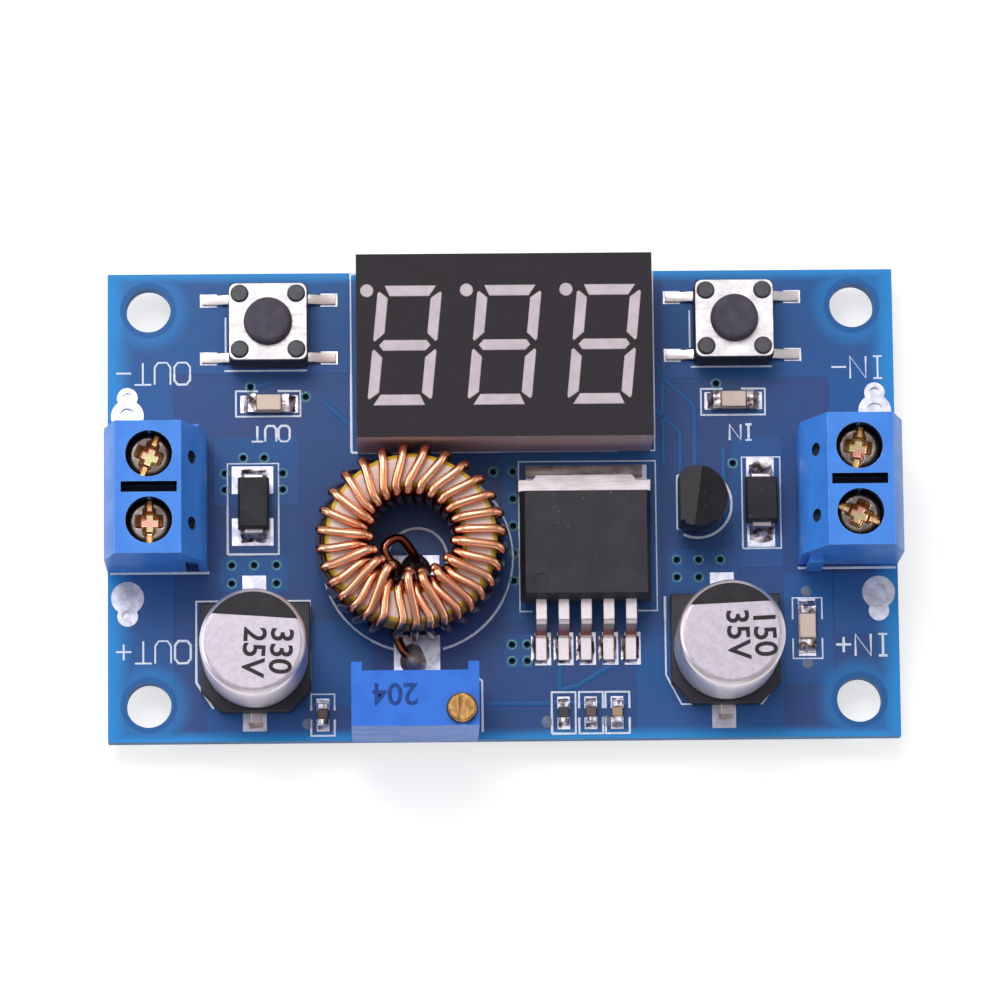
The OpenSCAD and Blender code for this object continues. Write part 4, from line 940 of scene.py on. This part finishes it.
moulded = {
    "regulator": srgb(54, 51, 57), "regulatorPatch": srgb(44, 41, 47), "dust": srgb(170, 166, 172),
    "diode": srgb(40, 39, 44), "small": srgb(24, 23, 27), "tab": srgb(208, 198, 204),
    "lead": srgb(206, 196, 200), "heated": srgb(160, 92, 84), "heatedFrom": (0.52 * mm, 0.66 * mm),
    "heatedTo": (1.0 * mm, 2.2 * mm), "regulatorRow": (-8.6 * mm, -8.3 * mm),
}
regulatorBlack = plainSurface("regulatorBody", moulded["regulator"], moulded["regulatorPatch"], 0.5, 0.14,
                              bump=0.5, grainScale=12000.0, speck=0.9, specular=0.18,
                              speckColor=moulded["dust"])
regulatorTab = brushedSurface("regulatorTab", moulded["tab"], srgb(140, 130, 136), 0.34,
                              tint=srgb(186, 180, 170))
leadMetal = brushedSurface("tinnedLead", moulded["lead"], srgb(116, 104, 108), 0.26,
                           tint=srgb(176, 164, 168))
# Flux has left the regulator's leads reddish a little above their feet
leadTree = leadMetal.tree
leadAxis = leadMetal.axes()
aboveLand = mathNode(leadTree, "SUBTRACT", leadAxis[2], partZ)
overFoot = fade(leadTree, aboveLand, *moulded["heatedFrom"])
belowBend = fade(leadTree, aboveLand, *moulded["heatedTo"], 1.0, 0.0)
inRow = fade(leadTree, leadAxis[1], *moulded["regulatorRow"], 0.9, 0.0)
fluxed = mathNode(leadTree, "MULTIPLY", mathNode(leadTree, "MULTIPLY", overFoot, belowBend), inRow)
leadMetal.put("Base Color", mixColor(leadTree, fluxed, leadMetal.finish.outputs["Color"],
                                     moulded["heated"]))
diodeBlack = plainSurface("diodeBody", moulded["diode"], srgb(32, 31, 36), 0.42, 0.14, bump=0.4,
                          grainScale=12000.0, speck=0.6, specular=0.2, speckColor=moulded["dust"])
smallBlack = plainSurface("smallRegulatorBody", moulded["small"], srgb(34, 33, 40), 0.3, 0.14, bump=0.3,
                          grainScale=12000.0, specular=0.2, speck=0.6, speckColor=moulded["dust"])
for source, surface, edge, slot in (
        ("regulator_body", regulatorBlack, 0.12, "regulator_body"),
        ("regulator_tab", regulatorTab, 0.06, "regulator_tab"),
        ("regulator_leads", leadMetal, 0.06, "regulator_leads"),
        ("diode_left_body", diodeBlack, 0.1, "diode_body"),
        ("diode_right_body", diodeBlack, 0.1, "diode_body"),
        ("diode_left_terminals", leadMetal, 0.05, "diode_terminals"),
        ("diode_right_terminals", leadMetal, 0.05, "diode_terminals"),
        ("small_regulator_body", smallBlack, 0.1, "small_regulator_body"),
        ("small_regulator_leads", leadMetal, 0.05, "small_regulator_leads")):
    piece = softCopy(source, [surface], edge * mm, smoothAngle=12)
    ridePiece(piece, "module")
print("regulators and diodes done")


# Capacitors: polished cans with a printed top

capacitor = {
    "can": srgb(228, 222, 230), "canDark": srgb(190, 182, 194), "top": srgb(176, 166, 180),
    "topPatch": srgb(190, 182, 194), "stain": srgb(206, 170, 170), "print": srgb(34, 31, 36),
    "base": srgb(38, 36, 45), "printSize": 2.35 * mm, "markRadius": 3.7 * mm, "printHigh": 0.004 * mm,
    "left": {"middle": (-18.8, -11.75), "lean": 4.0, "markEdge": (-21.92, -9.66),
             "number": ("330", -16.8, -12.5), "volts": ("25V", -18.82, -12.56)},
    "right": {"middle": (16.75, -11.4), "lean": -2.6, "markEdge": (14.07, -9.32),
              "number": ("150", 19.1, -11.5), "volts": ("35V", 17.12, -11.55)},
}
canMetal = brushedSurface("capacitorCan", capacitor["can"], capacitor["canDark"], 0.32, 700.0, (1, 1, 14),
                          bump=0.05, mottle=0.3, tint=capacitor["stain"], tintScale=160.0)
canTop = plainSurface("capacitorTop", capacitor["top"], capacitor["topPatch"], 0.42, 0.12, 0.7, 0.2,
                      patchScale=2400.0, patchAmount=0.8)
capBase = plainSurface("capacitorBase", capacitor["base"], srgb(30, 28, 38), 0.45, 0.12, bump=0.3,
                       specular=0.4)
printBlack = plainSurface("capacitorPrint", capacitor["print"], srgb(48, 44, 50), 0.4, 0.1, bump=0.1,
                          speck=0.4, specular=0.2, speckColor=srgb(150, 146, 152), patchScale=900.0)


def canChoice(face):
    return 1 if face.normal.z > 0.97 else 0


for side in ("left", "right"):
    values = capacitor[side]
    node = "capacitor_" + side + "_can"
    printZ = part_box(node)[1].z + capacitor["printHigh"]
    piece = softCopy(node, [canMetal, canTop], 0, chooser=canChoice)
    for face in piece.data.polygons:
        face.use_smooth = face.material_index == 0
    ridePiece(piece, "module")
    mesh = bmesh.new()
    bmesh.ops.create_circle(mesh, cap_ends=True, segments=96, radius=capacitor["markRadius"])
    x, y = values["middle"]
    bmesh.ops.translate(mesh, verts=mesh.verts, vec=(x * mm, y * mm, printZ))
    x, y = values["markEdge"]
    across = Matrix.Rotation(math.radians(-values["lean"]), 3, "Z") @ Vector((0, 1, 0))
    bmesh.ops.bisect_plane(mesh, geom=mesh.verts[:] + mesh.edges[:] + mesh.faces[:],
                           plane_co=(x * mm, y * mm, printZ), plane_no=across, clear_inner=True)
    ridePiece(placeMesh("capacitor_mark_" + side, mesh, [printBlack]), "module")
    for kind in ("number", "volts"):
        words, x, y = values[kind]
        printText("capacitor_" + kind + "_" + side, words, capacitor["printSize"],
                  (x * mm, y * mm, printZ), -90 - values["lean"], printBlack)
    for source, surface, edge, slot in (("base", capBase, 0.12, "capacitor_base"),
                                        ("leads", leadMetal, 0.05, "capacitor_leads")):
        node = "capacitor_" + side + "_" + source
        piece = softCopy(node, [surface], edge * mm, 2)
        ridePiece(piece, "module")
print("capacitors done")


# Trimmer

trimmer = {
    "blue": srgb(44, 112, 214), "patch": srgb(38, 98, 198), "side": srgb(62, 122, 222),
    "layer": srgb(176, 196, 236), "brass": srgb(206, 158, 100), "dirt": srgb(90, 60, 36),
    "number": "204", "printSize": 2.3 * mm, "printAt": (-8.3 * mm, -15.7 * mm), "printHigh": 0.004 * mm,
}
trimmerBlue = plainSurface("trimmerPlastic", trimmer["blue"], trimmer["patch"], 0.4, 0.12, bump=0.15,
                           specular=0.25, speck=0.4, speckColor=srgb(150, 186, 236))
trimmerSide = plainSurface("trimmerSide", trimmer["side"], trimmer["blue"], 0.4, 0.12, bump=0.2,
                           patchScale=300.0, specular=0.25)
layers = trimmerSide.group(brushedGroup, Stretch=(1, 1, 14), Scale=300.0).outputs["Value"]
layerMask = fade(trimmerSide.tree, layers, 0.5, 0.66, 0.0, 0.6)
trimmerSide.put("Base Color", mixColor(trimmerSide.tree, layerMask, trimmerSide.finish.outputs["Color"],
                                       trimmer["layer"]))
trimmerSide.bump(layers, 0.6, 0.08 * mm)
brass = brushedSurface("trimmerBrass", trimmer["brass"], trimmer["dirt"], 0.28, 1400.0, (1, 1, 1),
                       tint=trimmer["dirt"], tintScale=1800.0, mottle=0.7)
sealant = plainSurface("trimmerSeal", srgb(206, 206, 220), srgb(170, 174, 196), 0.3, 0.1, bump=0.5)


def trimmerChoice(face):
    return 1 if face.normal.y < -0.7 else 0


for source, surfaces, edge, slot, chooser in (
        ("trimmer_housing", [trimmerBlue, trimmerSide], 0.12, "trimmer_housing", trimmerChoice),
        ("trimmer_screw", [brass], 0.08, "trimmer_screw", None)):
    piece = softCopy(source, surfaces, edge * mm, chooser=chooser)
    ridePiece(piece, bodyOf(source))
setMaterial(frame["nodes"]["trimmer_seal"], sealant)
setMaterial(frame["nodes"]["trimmer_pins"], pinMetal)
trimmerPrint = plainSurface("trimmerPrint", srgb(20, 54, 122), srgb(34, 78, 158), 0.5, patchScale=2600.0,
                            specular=0.2)
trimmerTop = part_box("trimmer_housing")[1].z + trimmer["printHigh"]
printText("trimmer_number", trimmer["number"], trimmer["printSize"], (*trimmer["printAt"], trimmerTop), 180,
          trimmerPrint)
print("trimmer done")


# Indicators, chips and solder

small = {
    "led": srgb(206, 180, 170), "lens": srgb(206, 182, 168), "resistor": srgb(34, 32, 36),
    "ceramic": srgb(96, 72, 66), "ceramicPatch": srgb(76, 54, 48), "tan": srgb(176, 142, 116),
    "tanFrom": 7.5 * mm, "solder": srgb(206, 198, 206), "solderDark": srgb(96, 80, 84),
}
ledBody = plainSurface("indicatorSubstrate", small["led"], srgb(200, 180, 172), 0.45, speck=0.3)
ledLens = plainSurface("indicatorLens", small["lens"], srgb(212, 190, 178), 0.25, coat=0.4)
chipBlack = plainSurface("chipResistor", small["resistor"], srgb(46, 42, 46), 0.35)
chipBrown = plainSurface("chipCapacitor", small["ceramic"], small["ceramicPatch"], 0.4, bump=0.4)
controllerBlack = plainSurface("controllerBody", srgb(40, 38, 43), srgb(32, 30, 35), 0.45, bump=0.4)
solder = plainSurface("solder", small["solder"], small["solderDark"], 0.3, 0.3, 1.0, 0.6,
                      patchScale=900.0, patchAmount=0.6)
chipTan = plainSurface("chipCapacitorTan", small["tan"], srgb(150, 114, 90), 0.4, bump=0.4)


# The chip capacitor nearest the right on the top is a paler one
def tanChoice(face):
    point = face.calc_center_median()
    return 1 if point.x > small["tanFrom"] and point.z > 0 else 0


for source, surfaces, edge, chooser in (
        ("indicator_substrates", [ledBody], 0.04, None), ("indicator_lenses", [ledLens], 0.08, None),
        ("indicator_terminals", [tin], 0.04, None), ("chip_resistor_bodies", [chipBlack], 0.04, None),
        ("chip_capacitor_bodies", [chipBrown, chipTan], 0.08, tanChoice),
        ("chip_end_caps", [tin], 0.08, None), ("controller_body", [controllerBlack], 0.05, None),
        ("controller_leads", [leadMetal], 0.03, None), ("solder_joints", [solder], 0.14, None)):
    piece = softCopy(source, surfaces, edge * mm, 3, 20, chooser=chooser)
    ridePiece(piece, "module")

moundSolder = plainSurface("moundSolder", srgb(206, 194, 194), srgb(120, 92, 82), 0.26, 0.2, 0.6, 1.0,
                           patchScale=1300.0, patchAmount=0.8)
burntSolder = plainSurface("burntSolder", srgb(70, 58, 54), srgb(30, 24, 24), 0.3, 0.3, 0.6, 0.7,
                           patchScale=1300.0, patchAmount=0.8)
fluxSolder = plainSurface("tabSolder", srgb(190, 178, 180), srgb(122, 100, 98), 0.36, 0.3, 0.3, 0.9,
                          patchScale=600.0, patchAmount=0.8)
slopeSolder = plainSurface("slopeSolder", srgb(232, 226, 232), srgb(84, 66, 66), 0.22, 0.2, 1.0, 0.5,
                           patchScale=1500.0, patchAmount=1.0)
# Places as x, y and turn in mm and degrees. Solder as start from the middle, run, rise and width in mm, and
# for an end that it covers, how long that end is
solderEnds = {
    "indicators": ((-17.7, 7.85, 0), (17.7, 7.85, 0), (23, -9.65, 90)),
    "indicator": (1.6, 0.5, 0.66, 1.36, 0.58),
    "diodeLeftAt": (-18.9, 0, 90), "diodeLeft": (2.25, 0.7, 0.8, 2.1),
    "diodeRightAt": (19.65, 0, 90), "diodeRight": (2, 1.3, 0.95, 1.96),
    "resistorAt": (4.45, -16.05, 90), "resistor": (0.8, 0.38, 0.5, 0.88, 0.4),
    "chips": ((6.5, -16.05, 90), (8.5, -16.05, 90), (-13.75, -16.05, 90)),
    "chip": (0.8, 0.38, 0.84, 0.88, 0.4),
    "capacitors": ((-18.8, -11.75, 90), (16.75, -11.4, 90)), "capacitor": (4.85, 0.6, 0.26, 1.2),
    "tabAt": (6.2, 2.0, 90), "tab": (0, 0.95, 0.8, 8.9), "pitch": 1.7,
    "footY": -12.1, "foot": (-0.02, 0.3, 0.4, 1),
    "footSideY": -11.1, "footSide": (0.4, 0.34, 0.26, 1.9),
    "underX": [12.5 + 2.6 * i for i in range(4)], "underY": (-3, -6.5), "under": -0.06 * mm,
}


# Solder drawn up over an end: flat on the end itself, then a hollow slope or a round bead down to the land
def addSlope(mesh, place, size, material=0, under=False, bead=False):
    x, y, turn = place
    start, run, rise, width, cap = size if len(size) == 5 else (*size, 0)
    grid = bmesh.ops.create_grid(mesh, x_segments=14, y_segments=12, size=0.5)["verts"]
    lump = random.uniform(0, math.tau)
    strength = random.uniform(0.08, 0.16)
    for vert in grid:
        along = (vert.co.x + 0.5) * (cap + run) - cap
        out = min(max(along / run, 0), 1)
        side = vert.co.y * 2
        if bead:
            climb = math.sqrt(max(1 - out * out, 0)) * (1 - 0.6 * abs(side) ** 8)
        else:
            climb = (1 - out) ** 2.2 * (1 - 0.35 * out * abs(side) ** 2)
        climb += strength * math.sin(3.1 * side + lump + 5 * out) * (1 - out)
        spread = 1 if bead else 0.86 + 0.14 * abs(2 * out - 1)
        vert.co = Vector((start + along, side * width / 2 * spread, max(climb, 0) * rise - 0.02)) * mm
    if under:
        bmesh.ops.scale(mesh, verts=grid, vec=(1, 1, -1))
    bmesh.ops.rotate(mesh, verts=grid, cent=(0, 0, 0), matrix=Matrix.Rotation(math.radians(turn), 3, "Z"))
    base = solderEnds["under"] if under else partZ
    bmesh.ops.translate(mesh, verts=grid, vec=(x * mm, y * mm, base))
    for face in {face for vert in grid for face in vert.link_faces}:
        face.material_index = material


def addBothEnds(mesh, place, size, under=False):
    x, y, turn = place
    for flip in (0, 180):
        addSlope(mesh, (x, y, turn + flip), size, under=under)


mesh = bmesh.new()
for place in solderEnds["indicators"]:
    addBothEnds(mesh, place, solderEnds["indicator"])
for name in ("diodeLeft", "diodeRight", "resistor"):
    addBothEnds(mesh, solderEnds[name + "At"], solderEnds[name])
for place in solderEnds["chips"]:
    addBothEnds(mesh, place, solderEnds["chip"])
for x in solderEnds["underX"]:
    for y, name in zip(solderEnds["underY"], ("resistor", "chip")):
        addBothEnds(mesh, (x, y, 0), solderEnds[name], under=True)
for x, y, turn in solderEnds["capacitors"]:
    addSlope(mesh, (x, y, turn), solderEnds["capacitor"])
    addSlope(mesh, (x, y, turn + 180), solderEnds["capacitor"], material=1)
addSlope(mesh, solderEnds["tabAt"], solderEnds["tab"], material=1, bead=True)
for i in range(-2, 3):
    x = solderEnds["tabAt"][0] + i * solderEnds["pitch"]
    addSlope(mesh, (x, solderEnds["footY"], -90), solderEnds["foot"])
    for flip in (0, 180):
        addSlope(mesh, (x, solderEnds["footSideY"], flip), solderEnds["footSide"])
bmesh.ops.recalc_face_normals(mesh, faces=mesh.faces)
for face in mesh.faces:
    up = face.normal.z > 0
    if up != (face.calc_center_median().z > 0):
        face.normal_flip()
filletPiece = placeMesh("solder_slopes", mesh, [slopeSolder, fluxSolder], smooth=True, merge=False)
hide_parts("solder_fillets")
ridePiece(filletPiece, "module")

# The two ends of the wire stand in lumpy mounds of solder, the inner one burnt dark
mounds = ((holeTip + Vector((0, -0.25, 0)) * mm, burntSolder, "hole"), (outerTip, moundSolder, "outer"))
moundProfile = [(1.08, 0), (0.98, 0.1), (0.84, 0.22), (0.72, 0.4), (0.62, 0.58), (0.5, 0.7), (0.34, 0.78),
                (0.16, 0.82), (0, 0.83)]
for place, surface, name in mounds:
    profile = [(r * mm, z * mm) for r, z in moundProfile]
    piece = spinProfile("wire_joint_" + name, profile, (place.x, place.y, partZ - 0.01 * mm), [surface], 48)
    lumps = [random.uniform(0, math.tau) for k in range(3)]
    for vert in piece.data.vertices:
        around = math.atan2(vert.co.y - place.y, vert.co.x - place.x)
        swell = 1 + 0.1 * math.sin(2 * around + lumps[0]) + 0.06 * math.sin(3 * around + lumps[1])
        vert.co.x = place.x + (vert.co.x - place.x) * swell
        vert.co.y = place.y + (vert.co.y - place.y) * swell
    ridePiece(piece, "module")
print("small parts and solder done")


# Studio: a pale floor, a large soft lamp and a smaller one above, and soft lamps at three sides

studio = {
    "floor": srgb(186, 186, 186), "floorHalf": 1.2, "floorGlow": 0.62, "worldLight": 0.36,
    "lamps": (("topLight", (-0.08, 0.25, 0.7), (1.1, 1.1), 1.7),
              ("keyLight", (-0.12, 0.3, 0.62), (0.3, 0.3), 2.2),
              ("leftLight", (-0.6, 0.05, 0.32), (0.5, 0.35), 1.7),
              ("rightLight", (0.6, 0.05, 0.34), (0.5, 0.35), 0.6),
              ("frontLight", (0.0, -0.6, 0.2), (0.5, 0.25), 0.3)),
    "cameraFar": 466 * mm, "lens": 220.5, "tilt": 9.187, "roll": -0.464, "pan": -1.085,
    "aim": (-0.186 * mm, 0.321 * mm, 1.6 * mm),
}
mesh = bmesh.new()
bmesh.ops.create_grid(mesh, x_segments=1, y_segments=1, size=studio["floorHalf"])
bmesh.ops.translate(mesh, verts=mesh.verts, vec=(0, 0, cadBox[0].z))
floorPaint = Surface("floorPaint")
floorPaint.put("Base Color", studio["floor"])
floorPaint.put("Roughness", 0.9)
rays = floorPaint.tree.nodes.new("ShaderNodeLightPath").outputs
seen = mathNode(floorPaint.tree, "MAXIMUM", rays["Is Camera Ray"], rays["Is Glossy Ray"])
seen = mathNode(floorPaint.tree, "MAXIMUM", seen, rays["Is Transmission Ray"])
floorPaint.put("Emission Color", (1, 1, 1, 1))
floorPaint.put("Emission Strength", mathNode(floorPaint.tree, "MULTIPLY", seen, studio["floorGlow"]))
placeMesh("floor", mesh, [floorPaint])

world = bpy.data.worlds.new("studioWorld")
bpy.context.scene.world = world
world.use_nodes = True
background = world.node_tree.nodes["Background"]
background.inputs["Color"].default_value = (1, 1, 1, 1)
background.inputs["Strength"].default_value = studio["worldLight"]


def addLamp(name, place, size, power):
    light = bpy.data.lights.new(name, "AREA")
    light.energy = power
    light.shape = "RECTANGLE"
    light.size, light.size_y = size
    lamp = bpy.data.objects.new(name, light)
    lamp.location = place
    lamp.rotation_euler = (Vector((0, 0, 0)) - Vector(place)).to_track_quat("-Z", "Y").to_euler()
    bpy.context.scene.collection.objects.link(lamp)


for values in studio["lamps"]:
    addLamp(*values)

camera = bpy.data.cameras.new("camera")
camera.lens = studio["lens"]
camera.sensor_width = 36
camera.clip_start = 0.01
camera.clip_end = 20
cameraPiece = bpy.data.objects.new("camera", camera)
bpy.context.scene.collection.objects.link(cameraPiece)
turned = Matrix.Rotation(math.radians(studio["tilt"]), 3, "X")
turned = turned @ Matrix.Rotation(math.radians(studio["pan"]), 3, "Y")
turned = turned @ Matrix.Rotation(math.radians(studio["roll"]), 3, "Z")
away = turned.col[2] * studio["cameraFar"]
cameraPiece.matrix_world = Matrix.Translation(Vector(studio["aim"]) + away) @ turned.to_4x4()
bpy.context.scene.camera = cameraPiece
bpy.context.scene.view_settings.view_transform = "Standard"
print("studio done")
